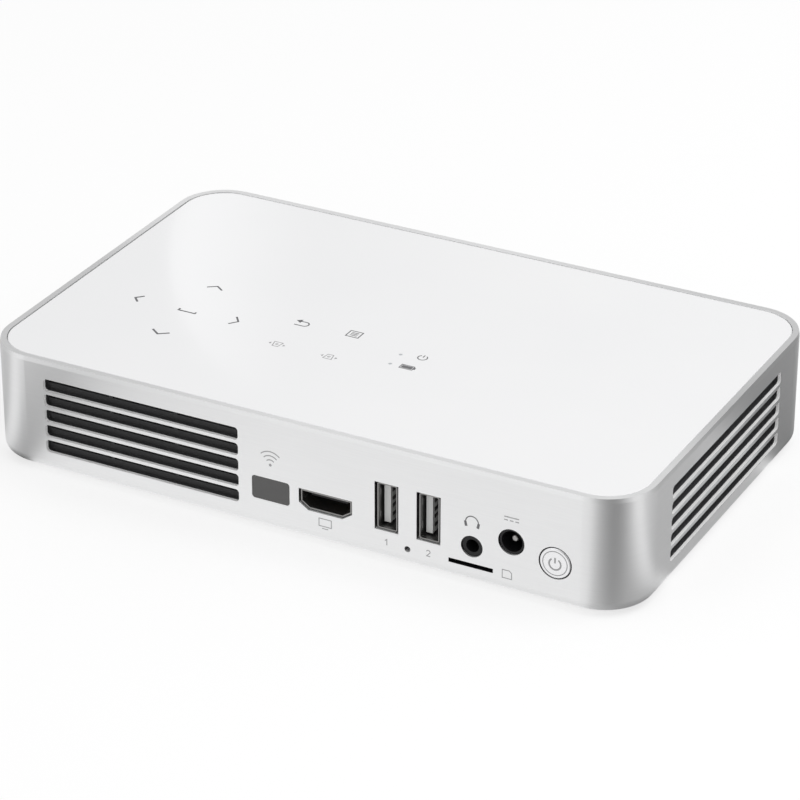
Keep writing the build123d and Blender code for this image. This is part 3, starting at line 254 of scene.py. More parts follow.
def slot_depth(look):
    """How deep a place lies behind the outer face, in the slots of the vents; 0 anywhere else."""
    x, y, z = look.parts()
    low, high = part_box("side_frame")
    rear_low, rear_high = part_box("rear_grille")
    side_low, side_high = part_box("right_grille")
    behind_rear = look.maths("SUBTRACT", y, low.y)
    behind_rear = within(look, behind_rear, x, rear_low.x, rear_high.x)
    behind_rear = within(look, behind_rear, y, low.y, 0.0)
    behind_rear = within(look, behind_rear, z, rear_low.z, rear_high.z)
    behind_side = look.maths("SUBTRACT", high.x, look.maths("ABSOLUTE", x))
    behind_side = within(look, behind_side, y, side_low.y, side_high.y)
    behind_side = within(look, behind_side, z, side_low.z, side_high.z)
    return look.maths("MAXIMUM", behind_rear, behind_side)


def band_metal():
    """Blasted and brushed aluminium: fine lines run round the band, over a silky grain. In the vent
    slots a painted highlight lies next to the outer face, with painted shade further in.
    """
    highlight_from, shade_from = 0.00008, 0.00095  # metres behind the outer face where the painted highlight and the painted shade begin
    look = Look("band_aluminium")
    lines = look.noise(1.0, 4.0, 0.6, stretch=(90.0, 90.0, 5200.0))
    grain = look.noise(5200.0, 2.0)
    cloud = look.noise(22.0, 3.0)
    tone = look.ramp(lines, "Fac", [(0.3, (0.882, 0.884, 0.888)), (0.7, (0.908, 0.91, 0.913))])
    # the slots' faces: a painted highlight next to the outer face, painted shade further in, and
    # neither is metal
    depth = slot_depth(look)
    painted_highlight = look.maths("GREATER_THAN", depth, highlight_from)
    deep = look.maths("GREATER_THAN", depth, shade_from)
    with_painted_highlight = look.overlay(painted_highlight, tone.outputs["Color"], (0.95, 0.95, 0.95))
    with_painted_shade = look.overlay(deep, with_painted_highlight, (0.04, 0.04, 0.042))
    look.join(with_painted_shade, look.shader.inputs["Base Color"])
    look.join(look.maths("SUBTRACT", 1.0, painted_highlight), look.shader.inputs["Metallic"])
    silk = look.node("ShaderNodeMath", operation="MULTIPLY_ADD")
    silk.inputs[1].default_value = 0.5
    look.link(grain, "Fac", silk, 0)
    look.link(cloud, "Fac", silk, 2)
    look.gloss(silk, "Value", 0.44, 0.5, start=0.5, end=1.0)
    lined = look.bump(lines, 0.12, 0.000004)
    look.bump(grain, 0.12, 0.000004, below=lined)
    tangent = look.node("ShaderNodeTangent", direction_type="RADIAL", axis="Z")
    look.link(tangent, "Tangent", look.shader, "Tangent")
    look.set(Anisotropic=0.8, Anisotropic_Rotation=0.25)
    return look.material


def gloss_white():
    """The touch top: white plastic under a clear hard coat."""
    look = Look("top_gloss_white")
    cloud = look.noise(14.0, 3.0)
    look.tone(cloud, [(0.3, (0.83, 0.832, 0.84)), (0.7, (0.85, 0.85, 0.855))])
    look.gloss(cloud, "Fac", 0.05, 0.075)
    look.bump(look.noise(420.0, 2.0), 0.03, 0.000004)
    look.set(IOR=1.49, Coat_Weight=0.35, Coat_Roughness=0.03)
    return look.material


def circuit(name, colour, trace):
    """Solder mask over copper tracks, with a faint weave."""
    look = Look(name)
    tracks = look.node("ShaderNodeTexBrick", offset=0.35, squash=0.7, squash_frequency=3)
    tracks.inputs["Scale"].default_value = 260.0
    tracks.inputs["Mortar Size"].default_value = 0.03
    tracks.inputs["Color1"].default_value = (*colour, 1.0)
    tracks.inputs["Color2"].default_value = (*shade(colour, 0.82), 1.0)
    tracks.inputs["Mortar"].default_value = (*trace, 1.0)
    look.link(look.place, "Object", tracks, "Vector")
    look.link(tracks, "Color", look.shader, "Base Color")
    weave = look.noise(2600.0, 2.0)
    look.gloss(weave, "Fac", 0.25, 0.4)
    look.bump(weave, 0.2, 0.00001)
    look.set(Coat_Weight=0.3, Coat_Roughness=0.1)
    return look.material


def coated_lens(name, colour):
    """Optical glass with a thin coating and faint streaks in its polish."""
    look = Look(name)
    cloud = look.noise(120.0, 2.0)
    look.tone(cloud, [(0.3, shade(colour, 0.97)), (0.7, colour)])
    look.gloss(cloud, "Fac", 0.0, 0.02)
    look.set(
        Transmission_Weight=1.0, IOR=1.6, Thin_Film_Thickness=420.0, Thin_Film_IOR=1.38
    )
    return look.material


def printed(name, colour):
    """Pad printed ink, a little uneven at its edges."""
    look = Look(name)
    dots = look.noise(2400.0, 2.0)
    look.tone(dots, [(0.35, colour), (0.75, shade(colour, 1.25))])
    look.gloss(dots, "Fac", 0.35, 0.5)
    return look.material


ALUMINIUM = band_metal()
TOP_WHITE = gloss_white()
BASE_WHITE = moulded("base_matte_white", (0.8, 0.8, 0.81), (0.42, 0.55), 1500.0, 0.00004, 0.02)
RUBBER = moulded("foot_rubber", (0.035, 0.035, 0.036), (0.65, 0.8), 900.0, 0.00006, 0.15)
BLACK = moulded("moulded_black", (0.014, 0.014, 0.015), (0.4, 0.55), 1600.0, 0.00002, 0.12)
LINER = moulded("liner_black", (0.02, 0.02, 0.021), (0.5, 0.65), 1400.0, 0.00003, 0.12)
SOCKET_BLACK = moulded(
    "socket_black",
    (0.009, 0.009, 0.01),
    (0.34, 0.46),
    2200.0,
    0.00001,
    0.12,
    Specular_IOR_Level=0.3,
)
TONGUE_GREY = moulded("tongue_grey", (0.6, 0.6, 0.59), (0.3, 0.42), 2200.0, 0.00001, 0.03)
IR_DARK = moulded(
    "ir_smoked", (0.062, 0.061, 0.06), (0.06, 0.12), 600.0, 0.000004, 0.05, Coat_Weight=0.4
)
STEEL = metal("zinc_steel", (0.6, 0.61, 0.62), (0.22, 0.38), (700.0, 700.0, 90.0))
NICKEL = metal("nickel_sheet", (0.66, 0.65, 0.63), (0.2, 0.32), (90.0, 1400.0, 1400.0))
# darker copies of the nickel: painted shade for the shells, contacts and pin inside the sockets
SHADED_NICKEL = metal("socket_nickel_shaded", (0.3, 0.295, 0.29), (0.34, 0.46), (90.0, 1400.0, 1400.0))
SHADED_PIN = metal("pin_nickel_shaded", (0.4, 0.39, 0.38), (0.32, 0.42), (1400.0, 90.0, 1400.0))
GOLD = metal("contact_gold", (0.85, 0.63, 0.3), (0.15, 0.25), (1500.0, 200.0, 1500.0))
BRASS = metal("turned_brass", (0.78, 0.6, 0.3), (0.2, 0.32), (200.0, 200.0, 3000.0))
COPPER = metal("drawn_copper", (0.8, 0.46, 0.32), (0.22, 0.4), (1200.0, 60.0, 1200.0))
FIN_METAL = metal("plain_aluminium", (0.75, 0.76, 0.77), (0.3, 0.45), (80.0, 900.0, 900.0))
CAST = metal("die_cast", (0.48, 0.48, 0.49), (0.45, 0.62), (700.0, 700.0, 700.0), 0.1, 0.00006)
BUTTON = metal("button_turned", (0.87, 0.87, 0.88), (0.24, 0.34), (1500.0, 60.0, 1500.0), 0.03)
ANODISED = metal("black_anodised", (0.03, 0.03, 0.032), (0.3, 0.45), (60.0, 3000.0, 60.0), 0.2)
GEAR = moulded("gear_black", (0.022, 0.022, 0.024), (0.35, 0.5), 1200.0, 0.00003, 0.12)
BEZEL = moulded(
    "bezel_gloss", (0.012, 0.012, 0.013), (0.07, 0.12), 700.0, 0.000003, 0.1, Coat_Weight=0.5
)
BOARD = circuit("board_green", (0.012, 0.075, 0.04), (0.05, 0.17, 0.08))
FLEX = circuit("flex_amber", (0.42, 0.2, 0.03), (0.6, 0.34, 0.1))
CHIP = moulded("chip_epoxy", (0.02, 0.02, 0.021), (0.4, 0.52), 2400.0, 0.00002, 0.1)
LED_BODY = moulded("led_carrier", (0.1, 0.1, 0.11), (0.3, 0.45), 1500.0, 0.00002, 0.08)
CLEAR = moulded("light_pipe", (0.48, 0.5, 0.52), (0.12, 0.2), 900.0, 0.000002, 0.04)
WRAP = metal("battery_foil", (0.3, 0.38, 0.48), (0.32, 0.5), (30.0, 30.0, 30.0), 0.12, 0.0001)
CONE = moulded("paper_cone", (0.03, 0.03, 0.03), (0.6, 0.8), 900.0, 0.00006, 0.2)
LENS = coated_lens("lens_coated", (0.93, 0.96, 1.0))
INK = printed("ink_grey", (0.12, 0.12, 0.125))
INK_SOFT = printed("ink_soft", (0.3, 0.3, 0.305))
# not ink: black for the screws' cross recesses, painted shade
PAINTED_RECESS_SHADE = printed("recess_painted_shade", (0.01, 0.01, 0.01))

FINISHES = {
    "side_frame": ALUMINIUM,
    "top_cover": TOP_WHITE,
    "bottom_cover": BASE_WHITE,
    "rubber_feet": RUBBER,
    "case_screws": STEEL,
    "tripod_insert": BRASS,
    "rear_grille": LINER,
    "right_grille": LINER,
    "left_grille": LINER,
    "main_board": BOARD,
    "board_screws": STEEL,
    "hdmi_shell": SHADED_NICKEL,
    "hdmi_tongue": SOCKET_BLACK,
    "usb_shell_1": SHADED_NICKEL,
    "usb_shell_2": SHADED_NICKEL,
    "usb_tongue_1": TONGUE_GREY,
    "usb_tongue_2": TONGUE_GREY,
    "headphone_jack": SOCKET_BLACK,
    "dc_jack": SOCKET_BLACK,
    "dc_pin": SHADED_PIN,
    "card_socket": SOCKET_BLACK,
    "power_button": BUTTON,
    "power_plunger": BLACK,
    "power_switch": BLACK,
    "reset_plunger": BLACK,
    "reset_switch": NICKEL,
    "ir_window": IR_DARK,
    "ir_receiver": CHIP,
    "processor": CHIP,
    "processor_heatsink": FIN_METAL,
    "touch_board": BOARD,
    "indicator_lenses": CLEAR,
    "touch_flex": FLEX,
    "fin_stack": FIN_METAL,
    "heat_pipes": COPPER,
    "fan_frame_1": BLACK,
    "fan_frame_2": BLACK,
    "fan_rotor_1": BLACK,
    "fan_rotor_2": BLACK,
    "engine_housing": CAST,
    "engine_screws": STEEL,
    "heat_spreader": COPPER,
    "red_led_module": LED_BODY,
    "green_led_module": LED_BODY,
    "blue_led_module": LED_BODY,
    "dmd_board": BOARD,
    "lens_barrel": ANODISED,
    "front_lens": LENS,
    "rear_lens": LENS,
    "lens_retainer": ANODISED,
    "focus_ring": GEAR,
    "ring_clip": STEEL,
    "focus_wheel": GEAR,
    "wheel_bracket": NICKEL,
    "wheel_axle": STEEL,
    "lens_bezel": BEZEL,
    "battery_pack": WRAP,
    "speaker_box": BLACK,
    "speaker_driver_1": CONE,
    "speaker_driver_2": CONE,
}
for name, material in FINISHES.items():
    slots = nodes[name].material_slots
    if not slots:
        nodes[name].data.materials.append(material)
    for entry in nodes[name].material_slots:
        entry.material = material


# ---- small pieces drawn on a face ----
class Face:
    """A flat place on the object: local x and y in millimetres, and the direction it faces."""

    def __init__(self, origin, across, up):
        self.origin = Vector(origin)
        self.across = Vector(across)
        self.up = Vector(up)
        self.out = self.across.cross(self.up)

    def point(self, x, y, height=0.0):
        return (self.origin + self.across * x + self.up * y + self.out * height) * MM


top_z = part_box("top_cover")[1].z / MM
rear_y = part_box("side_frame")[0].y / MM
button_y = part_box("power_button")[0].y / MM
band_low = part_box("side_frame")[0].z / MM
SUNK = -0.01  # how far a printed figure starts below its face
TOP = Face((0, 0, top_z), (1, 0, 0), (0, 1, 0))
REAR = Face((0, rear_y, band_low), (1, 0, 0), (0, 0, 1))
BUTTON_FACE = Face((0, button_y, band_low), (1, 0, 0), (0, 0, 1))


def arc(cx, cy, radius, start, end, steps):
    """Points along an arc, angles in degrees."""
    turns = [math.radians(start + (end - start) * i / steps) for i in range(steps + 1)]
    return [(cx + radius * math.cos(t), cy + radius * math.sin(t)) for t in turns]


def stroke(mesh, face, points, width, depth, closed=False):
    """A line of even width with mitred corners, as a thin raised strip."""
    count = len(points)
    sides = []
    for i, (x, y) in enumerate(points):
        before = points[i - 1] if i or closed else None
        after = points[(i + 1) % count] if i < count - 1 or closed else None
        steps = []
        if before:
            steps.append(Vector((x - before[0], y - before[1])).normalized())
        if after:
            steps.append(Vector((after[0] - x, after[1] - y)).normalized())
        along = sum(steps, Vector((0.0, 0.0)))
        along = along.normalized() if along.length > 1e-6 else steps[0]
        normal = Vector((-along.y, along.x))
        stretch = 1.0 / max(abs(normal.dot(Vector((-steps[0].y, steps[0].x)))), 0.5)
        half = normal * width / 2 * stretch
        rows = []
        for side in (1, -1):
            edge = (x + side * half.x, y + side * half.y)
            for height in (SUNK, depth):
                rows.append(mesh.verts.new(face.point(*edge, height)))
        sides.append(rows)
    last = count if closed else count - 1
    for i in range(last):
        a, b = sides[i], sides[(i + 1) % count]
        mesh.faces.new((a[1], a[3], b[3], b[1]))
        mesh.faces.new((a[0], a[1], b[1], b[0]))
        mesh.faces.new((a[3], a[2], b[2], b[3]))
    if not closed:
        for rows, order in ((sides[0], (0, 2, 3, 1)), (sides[-1], (1, 3, 2, 0))):
            mesh.faces.new([rows[k] for k in order])


def patch(mesh, face, points, depth):
    """A filled outline, as a thin raised plate."""
    upper = [mesh.verts.new(face.point(x, y, depth)) for x, y in points]
    lower = [mesh.verts.new(face.point(x, y, SUNK)) for x, y in points]
    mesh.faces.new(upper)
    for i in range(len(points)):
        j = (i + 1) % len(points)
        mesh.faces.new((upper[i], lower[i], lower[j], upper[j]))


def finish_mesh(name, mesh, material, body):
    bmesh.ops.recalc_face_normals(mesh, faces=mesh.faces)
    data = bpy.data.meshes.new(name)
    mesh.to_mesh(data)
    mesh.free()
    made = bpy.data.objects.new(name, data)
    bpy.context.scene.collection.objects.link(made)
    made.data.materials.append(material)
    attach(made, body)
    return made


def symbol(
    name,
    face,
    lines,
    fills=(),
    width=0.3,
    depth=0.012,
    material=INK,
    body="housing",
):
    """One printed symbol: a line is a list of points, or such a list and True where it closes."""
    mesh = bmesh.new()
    for line in lines:
        closed = isinstance(line, tuple)
        stroke(mesh, face, line[0] if closed else line, width, depth, closed)
    for outline in fills:
        patch(mesh, face, outline, depth)
    return finish_mesh(name, mesh, material, body)


# ---- touch symbols on the top ----
symbol("touch_left", TOP, [[(-71.6, -13.4), (-73.4, -15.3), (-71.6, -17.2)]], width=0.61)
symbol("touch_right", TOP, [[(-43.1, -12.7), (-41.3, -15.0), (-43.1, -17.3)]], width=0.52)
symbol("touch_up", TOP, [[(-59.5, -0.6), (-57.1, 1.1), (-54.8, -0.6)]], width=0.52)
symbol("touch_down", TOP, [[(-59.3, -29.4), (-56.7, -31.3), (-54.1, -29.4)]], width=0.61)
symbol(
    "touch_enter",
    TOP,
    [[(-59.2, -15.2), (-59.2, -16.3), (-54.1, -16.3), (-54.1, -15.5)]],
    width=0.52,
)
symbol(
    "touch_back",
    TOP,
    [[(-26.6, -6.9)] + arc(-24.8, -8.1, 1.2, 90, -90, 12) + [(-27.4, -9.3)]],
    [[(-26.3, -5.9), (-26.3, -7.9), (-27.9, -6.9)]],
    width=0.4,
)
symbol(
    "touch_menu",
    TOP,
    [
        ([(-12.0, -5.5), (-8.3, -5.5), (-8.3, -8.8), (-12.0, -8.8)], True),
        [(-11.2, -6.4), (-9.1, -6.4)],
        [(-11.2, -7.15), (-9.1, -7.15)],
        [(-11.2, -7.9), (-9.1, -7.9)],
    ],
    width=0.34,
)


def adjuster(name, cx, cy, shape):
    """A small figure between two pointers."""
    pointers = [
        [(cx - 2.5, cy), (cx - 1.8, cy + 0.55), (cx - 1.8, cy - 0.55)],
        [(cx + 2.5, cy), (cx + 1.8, cy - 0.55), (cx + 1.8, cy + 0.55)],
    ]
    figure = ([(cx + x, cy + y) for x, y in shape], True)
    middle = arc(cx, cy, 0.32, 0, 330, 10)
    symbol(name, TOP, [figure, middle], pointers, width=0.26, material=INK_SOFT)


wide_top = [(-1.25, 1.2), (1.25, 1.2), (0.8, -1.2), (-0.8, -1.2)]
narrow_top = [(-0.8, 1.2), (0.8, 1.2), (1.25, -1.2), (-1.25, -1.2)]
adjuster("touch_keystone_wide", -25.6, -21.8, wide_top)
adjuster("touch_keystone_narrow", -9.9, -21.8, narrow_top)


def power_figure(cx, cy, radius):
    """The ring that is open at its top, and the bar in the opening."""
    return [arc(cx, cy, radius, 55, -235, 26), [(cx, cy + 0.15 * radius), (cx, cy + 1.15 * radius)]]


symbol("touch_power", TOP, power_figure(12.2, -10.9, 1.3), width=0.32)
symbol(
    "battery_symbol",
    TOP,
    [([(9.2, -16.6), (12.9, -16.6), (12.9, -18.6), (9.2, -18.6)], True)],
    [
        [(9.5, -16.9), (12.6, -16.9), (12.6, -18.3), (9.5, -18.3)],
        [(13.0, -17.1), (13.5, -17.1), (13.5, -18.1), (13.0, -18.1)],
    ],
)

# ---- marks on the socket side ----
HDMI_X, HDMI_Z = 9.2, 13.25
USB_Z = 16.2
JACK_X, JACK_Z = 51.0, 11.4
INLET_X, INLET_Z = 61.95, 15.6
CARD_X = 50.75
BUTTON_X, BUTTON_Z = 74.1, 12.9
BUTTON_UP = 11.9  # the button's middle above the band's lower edge


def mark(name, lines, fills=(), width=0.3, material=INK_SOFT):
    symbol(name, REAR, lines, fills, width, material=material)


mark(
    "remote_symbol",
    [arc(-6.8, 18.9, radius, 45, 135, 12) for radius in (1.5, 2.7, 3.9)],
    [arc(-6.8, 18.9, 0.42, 0, 345, 14)],
)
mark(
    "screen_symbol",
    [([(7.3, 4.9), (10.9, 4.9), (10.9, 7.1), (7.3, 7.1)], True), [(8.2, 4.25), (10.0, 4.25)]],
    width=0.24,
)
mark("number_1", [[(26.4, 5.6), (26.95, 6.0), (26.95, 4.3)]], width=0.26)
mark("number_2", [arc(38.8, 5.5, 0.5, 165, -20, 8) + [(38.3, 4.3), (39.35, 4.3)]], width=0.26)
mark(
    "headphone_symbol",
    [arc(JACK_X, 17.3, 1.8, 0, 180, 20)],
    [
        [(48.75, 17.4), (49.45, 17.4), (49.75, 16.1), (49.05, 15.9)],
        [(53.25, 17.4), (52.55, 17.4), (52.25, 16.1), (52.95, 15.9)],
    ],
    material=INK,
)
mark(
    "direct_current_symbol",
    [[(59.9, 21.6), (64.0, 21.6)]]
    + [[(start, 20.7), (start + 1.0, 20.7)] for start in (59.9, 61.45, 63.0)],
)
mark(
    "card_symbol",
    [([(59.6, 3.9), (62.2, 3.9), (62.2, 5.6), (61.6, 6.2), (59.6, 6.2)], True)],
    width=0.24,
)


# ---- power button face: painted shade of its groove and raised symbol ----
def button_relief_shade(name, lines, width):
    symbol(
        name,
        BUTTON_FACE,
        lines,
        width=width,
        depth=0.006,
        material=INK_SOFT,
        body="power_key",
    )


# the grey ring is painted shade of the button's groove; the symbol's grey is painted shade of its
# raised strokes
button_relief_shade("button_groove_shade", [(arc(BUTTON_X, BUTTON_UP, 3.35, 0, 351, 39), True)], 0.26)
button_relief_shade("button_symbol_shade", power_figure(BUTTON_X, BUTTON_UP - 0.2, 1.6), 0.46)


# ---- contacts and trim in the sockets ----
def bar(mesh, low, high, bevel):
    """A small block with softened edges, from corner to corner in millimetres."""
    low, high = Vector(low), Vector(high)
    made = bmesh.ops.create_cube(mesh, size=1.0)
    size = high - low
    middle = (low + high) / 2
    for vertex in made["verts"]:
        vertex.co = Vector(c * s + m for c, s, m in zip(vertex.co, size, middle)) * MM
    edges = {edge for vertex in made["verts"] for edge in vertex.link_edges}
    bmesh.ops.bevel(mesh, geom=list(edges), offset=bevel * MM, segments=1, affect="EDGES")


def bars(name, blocks, material, bevel=0.05):
    mesh = bmesh.new()
    for low, high in blocks:
        bar(mesh, low, high, bevel)
    finish_mesh(name, mesh, material, "housing")


def span_of(node):
    low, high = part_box(node)
    return low / MM, high / MM


def plate(x, half_x, y, z, half_z):
    """Opposite corners of a block about x and z, between two places along y."""
    return (x - half_x, y[0], z - half_z), (x + half_x, y[1], z + half_z)


low, high = span_of("hdmi_tongue")
contact_y = (low.y + 0.35, low.y + 5.0)
contact_lift = 0.46  # from the tongue's middle to a contact's
hdmi_contacts = []
for count, lift in ((10, -contact_lift), (9, contact_lift)):
    for i in range(count):
        x = HDMI_X + (i - (count - 1) / 2) * 1.0
        hdmi_contacts.append(plate(x, 0.2, contact_y, HDMI_Z + lift, 0.04))
bars("hdmi_contacts", hdmi_contacts, GOLD, bevel=0.02)

for number in (1, 2):
    low, high = span_of(f"usb_tongue_{number}")
    contact_x = (low.x + high.x) / 2 - 0.005
    contact_y = (low.y + 0.8, low.y + 8.5)
    lifts = (-3.5, -1.0, 1.0, 3.5)
    contacts = [plate(contact_x, 0.075, contact_y, USB_Z + lift, 0.5) for lift in lifts]
    bars(f"usb_contacts_{number}", contacts, SHADED_NICKEL, bevel=0.04)
    low, high = span_of(f"usb_shell_{number}")
    spring_y = (low.y + 1.2, low.y + 6.0)
    springs = []
    for lift in (-3.3, 3.3):
        for x in (low.x + 0.3, high.x - 0.3):
            springs.append(plate(x, 0.06, spring_y, USB_Z + lift, 1.0))
    bars(f"usb_springs_{number}", springs, SHADED_NICKEL)


def ring(name, x, z, y, radius, thick, material):
    """A round bead about an axis along y, in millimetres."""
    mesh = bmesh.new()
    around, across = 40, 10
    loops = []
    for i in range(around):
        turn = 2 * math.pi * i / around
        loop = []
        for j in range(across):
            tilt = 2 * math.pi * j / across
            far = radius + thick * math.cos(tilt)
            place = (x + far * math.cos(turn), y + thick * math.sin(tilt), z + far * math.sin(turn))
            loop.append(mesh.verts.new(Vector(place) * MM))
        loops.append(loop)
    for i in range(around):
        for j in range(across):
            a, b = loops[i], loops[(i + 1) % around]
            k = (j + 1) % across
            mesh.faces.new((a[j], a[k], b[k], b[j]))
    made = finish_mesh(name, mesh, material, "housing")
    for polygon in made.data.polygons:
        polygon.use_smooth = True
    return made


# a black ring in the gap round the button: painted shade of the gap
gap_shade_y = button_y + 0.75
ring("button_gap_shade", BUTTON_X, BUTTON_Z, gap_shade_y, 4.4, 0.13, SOCKET_BLACK)
low, high = span_of("headphone_jack")
ring("headphone_bead", JACK_X, JACK_Z, low.y + 0.25, 2.1, 0.22, SOCKET_BLACK)
spring = plate(JACK_X + 1.6, 0.15, (low.y + 3.0, low.y + 9.0), JACK_Z, 0.4)
bars("headphone_contacts", [spring], NICKEL)
low, high = span_of("dc_jack")
ring("dc_bead", INLET_X, INLET_Z, low.y + 0.25, 3.1, 0.2, SOCKET_BLACK)
spring = plate(INLET_X + 2.5, 0.2, (low.y + 2.0, low.y + 8.0), INLET_Z, 1.0)
bars("dc_spring", [spring], NICKEL)
low, high = span_of("card_socket")
contact_y = (low.y + 5.0, low.y + 10.0)
card_contacts = []
for i in range(8):
    x = CARD_X + (i - 3.5) * 1.1
    card_contacts.append(plate(x, 0.3, contact_y, 6.375, 0.075))
bars("card_contacts", card_contacts, GOLD, bevel=0.03)
# black sheets of painted shade line the card slot, from just behind the band's face to the socket
left, right, bottom, top, sheet = 44.5, 57.0, 5.4, 6.5, 0.075
front, back = rear_y + 0.05, low.y
slot_shade_sheets = [
    ((left, front, bottom - sheet), (right, back, bottom)),
    ((left, front, top), (right, back, top + sheet)),
    ((left, front, bottom), (left + 0.08, back, top)),
    ((right - 0.08, front, bottom), (right, back, top)),
]
bars("card_slot_shade", slot_shade_sheets, SOCKET_BLACK, bevel=0.01)

# ---- painted shade in the cross recesses of the case screws: black blocks ----
screw_x, screw_y = 83.8, 47.8
arms = ((1.3, 0.25, 0.01), (0.25, 1.3, 0.011))  # half sizes, and the start below the head
low, high = span_of("case_screws")
recess_shade = []
for x in (-screw_x, screw_x):
    for y in (-screw_y, screw_y):
        for half_x, half_y, start in arms:
            corner = (x - half_x, y - half_y, low.z - start)
            recess_shade.append((corner, (x + half_x, y + half_y, low.z + 0.1)))
bars("screw_recess_shades", recess_shade, PAINTED_RECESS_SHADE, bevel=0.04)

# ---- baffle rings inside the lens mouth ----
low, high = span_of("lens_bezel")
lens_x, lens_z = (low.x + high.x) / 2, (low.z + high.z) / 2
mouth_radius, mouth_slope = 10.15, 0.34
for i, inset in enumerate((0.9, 1.7, 2.5)):
    radius = mouth_radius - mouth_slope * inset
    ring(f"bezel_step_{i + 1}", lens_x, lens_z, high.y - inset, radius, 0.1, BEZEL)

# ---- studio ----
scene = bpy.context.scene
scene.view_settings.view_transform = "Standard"


# Levels that metal mirrors, each with its angle in degrees: on the floor the angle that the
# nearest wall faces, from the socket side round to the right or the left side; in the room the
# compass angle, where 0 is the socket side and 90 the right side.
RIGHT_CARDS = [
    (0, 0.96),
    (6, 0.6),
    (22, 0.24),
    (42, 0.04),
    (58, 0.2),
    (70, 0.92),
    (84, 1.0),
    (90, 0.48),
]
LEFT_CARDS = [
    (3, 0.4),
    (8, 0.04),
    (22, 0.1),
    (34, 0.85),
    (47, 1.0),
    (64, 0.35),
    (90, 0.58),
]
ROOM = [
    (-180, 0.6),
    (-152, 0.66),
    (-125, 0.6),
    (-103, 0.6),
    (-71, 1.0),
    (-45, 0.9),
    (-27, 0.92),
    (-5, 0.6),
    (15, 0.25),
    (38, 0.08),
    (54, 0.4),
    (68, 0.95),
    (105, 1.0),
    (124, 0.6),
    (148, 0.1),
    (166, 0.36),
    (180, 0.6),
]


def to_far_side(stops):
    """The levels from 0 to 180 degrees: the far corner repeats the near one."""
    return stops + [(180 - turn, level) for turn, level in reversed(stops[:-1])]


def all_cards():
    """The levels all round, with the same level at both ends."""
    left = to_far_side(LEFT_CARDS) + [(180, RIGHT_CARDS[0][1])]
    return [(-turn, level) for turn, level in reversed(left)] + to_far_side(RIGHT_CARDS)


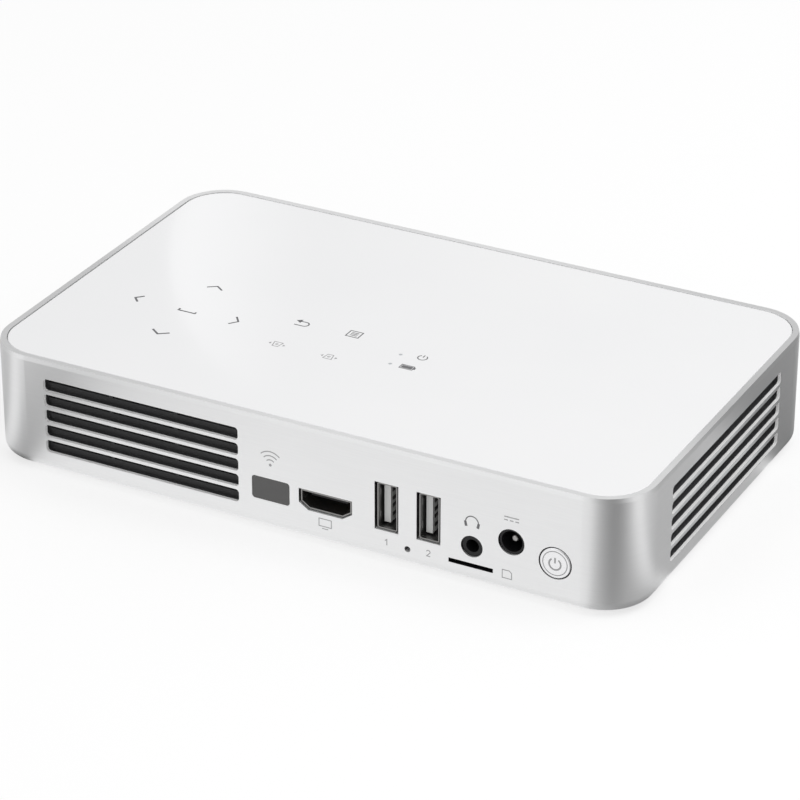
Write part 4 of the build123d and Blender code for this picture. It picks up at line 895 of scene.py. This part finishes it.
def studio_floor():
    """Paper that is near white to the camera, and carries the cards for what metal mirrors."""
    turn_x, turn_y = 0.081, 0.03  # beyond these the nearest wall's angle turns, in metres
    paper_glow, card_glow = 0.7, 0.85
    mesh = bmesh.new()
    bmesh.ops.create_circle(mesh, cap_ends=True, segments=96, radius=6.0)
    data = bpy.data.meshes.new("floor")
    mesh.to_mesh(data)
    mesh.free()
    floor = bpy.data.objects.new("floor", data)
    floor.location.z = -0.00002
    scene.collection.objects.link(floor)
    look = Look("floor_paper")
    look.tone(look.noise(3.0, 2.0), [(0.3, (0.93, 0.93, 0.93)), (0.7, (0.95, 0.95, 0.95))])
    look.set(Roughness=0.9, Specular_IOR_Level=0.1)
    x, y, _ = look.parts()
    past = []
    for side, straight in ((x, turn_x), (y, turn_y)):
        beyond = look.maths("SUBTRACT", look.maths("ABSOLUTE", side), straight)
        beyond = look.maths("MAXIMUM", beyond, 0.0)
        past.append(look.maths("MULTIPLY", beyond, look.maths("SIGN", side)))
    cards = look.node("ShaderNodeEmission")
    look.join(look.levels(look.compass(*past), all_cards()), cards.inputs["Color"])
    # the camera sees the shaded paper through a white glow, so a soft shadow stays
    paper = look.node("ShaderNodeEmission")
    path = look.node("ShaderNodeLightPath")
    paper_share = look.maths("MULTIPLY", path.outputs["Is Camera Ray"], paper_glow)
    seen = look.mix_shaders(paper_share, look.shader.outputs[0], paper.outputs[0])
    card_share = look.maths("MULTIPLY", look.mirror_rays(path), card_glow)
    both = look.mix_shaders(card_share, seen, cards.outputs[0])
    look.join(both, look.output.inputs["Surface"])
    data.materials.append(look.material)
    floor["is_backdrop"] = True


def sky():
    """A soft room: white to the camera, with darker sides for what gloss and metal mirror."""
    room_light = 0.76  # on everything that doesn't mirror
    disc_axis, disc_edge = (-0.44156, 0.7878, 0.42941), (0.99916, 0.99921)
    world = bpy.data.worlds.new("studio")
    scene.world = world
    world.use_nodes = True
    room = Tree(world.node_tree)
    place = room.node("ShaderNodeTexCoord").outputs["Generated"]
    parts = room.node("ShaderNodeSeparateXYZ")
    room.join(place, parts.inputs[0])
    x, y, z = (parts.outputs[axis] for axis in "XYZ")
    walls = room.levels(room.compass(x, y), ROOM, ease="EASE")
    # overhead the room is evenly bright
    walls = room.mix(room.soft_step(z, 0.55, 0.9), walls, 1.0)
    # a round diffuser behind the object, whose edge shows in the glossy top; it fades rightward
    aligned = room.node("ShaderNodeVectorMath", operation="DOT_PRODUCT")
    room.join(place, aligned.inputs[0])
    aligned.inputs[1].default_value = disc_axis
    disc = room.soft_step(aligned.outputs["Value"], *disc_edge)
    fade = room.soft_step(x, -0.48, -0.437, low=0.6, high=0.0)
    mirrored = room.maths("ADD", walls, room.maths("MULTIPLY", disc, fade))
    path = room.node("ShaderNodeLightPath")
    lit = room.mix(room.mirror_rays(path), room_light, mirrored)
    seen = room.mix(path.outputs["Is Camera Ray"], lit, 1.0)
    back = room.node("ShaderNodeBackground")
    back.inputs["Color"].default_value = (1.0, 1.0, 1.0, 1.0)
    room.join(seen, back.inputs["Strength"])
    output = room.node("ShaderNodeOutputWorld")
    room.join(back.outputs[0], output.inputs["Surface"])


def softbox(name, place, size, watts):
    """A soft lamp that points at the object."""
    aim = Vector((0, 0, 0.02))
    light = bpy.data.lights.new(name, "AREA")
    light.shape = "RECTANGLE"
    light.size, light.size_y = size
    light.energy = watts
    lamp = bpy.data.objects.new(name, light)
    lamp.location = place
    lamp.rotation_euler = (aim - Vector(place)).to_track_quat("-Z", "Y").to_euler()
    scene.collection.objects.link(lamp)
    return lamp


def camera():
    """The photographed view: where the camera stood, which way it looked, and its framing."""
    azimuth, elevation, roll = (math.radians(a) for a in (27.44, 28.03, 0.15))
    focal_pixels, centre_u, centre_v, image = 3499.0, 411.2, 415.2, 800.0
    aside, above, away = 2.85, 6.41, 948.2  # from the band's lower edge, in millimetres
    sensor = 36.0
    back = Vector(
        (
            math.sin(azimuth) * math.cos(elevation),
            -math.cos(azimuth) * math.cos(elevation),
            math.sin(elevation),
        )
    )
    right = Vector((math.cos(azimuth), math.sin(azimuth), 0.0))
    up = back.cross(right)
    right_rolled = right * math.cos(roll) + up * math.sin(roll)
    up_rolled = up * math.cos(roll) - right * math.sin(roll)
    place = (right_rolled * aside + up_rolled * above + back * away) * MM
    place.z += band_low * MM
    data = bpy.data.cameras.new("camera")
    data.sensor_width = sensor
    data.lens = focal_pixels * sensor / image
    data.shift_x = (image / 2 - centre_u) / image
    data.shift_y = (centre_v - image / 2) / image
    data.clip_start = 0.01
    view = bpy.data.objects.new("camera", data)
    turn = Matrix((right_rolled, up_rolled, back)).transposed()
    view.matrix_world = Matrix.Translation(place) @ turn.to_4x4()
    scene.collection.objects.link(view)
    scene.camera = view


studio_floor()
sky()
key = softbox("key", (0.5, 0.1, 0.9), (0.7, 0.7), 4.15)
key.visible_glossy = False  # its mirror image would whiten the rim at the near corner
softbox("front", (-0.5, -0.95, 0.4), (0.5, 0.3), 0.45)
camera()

low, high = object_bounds()
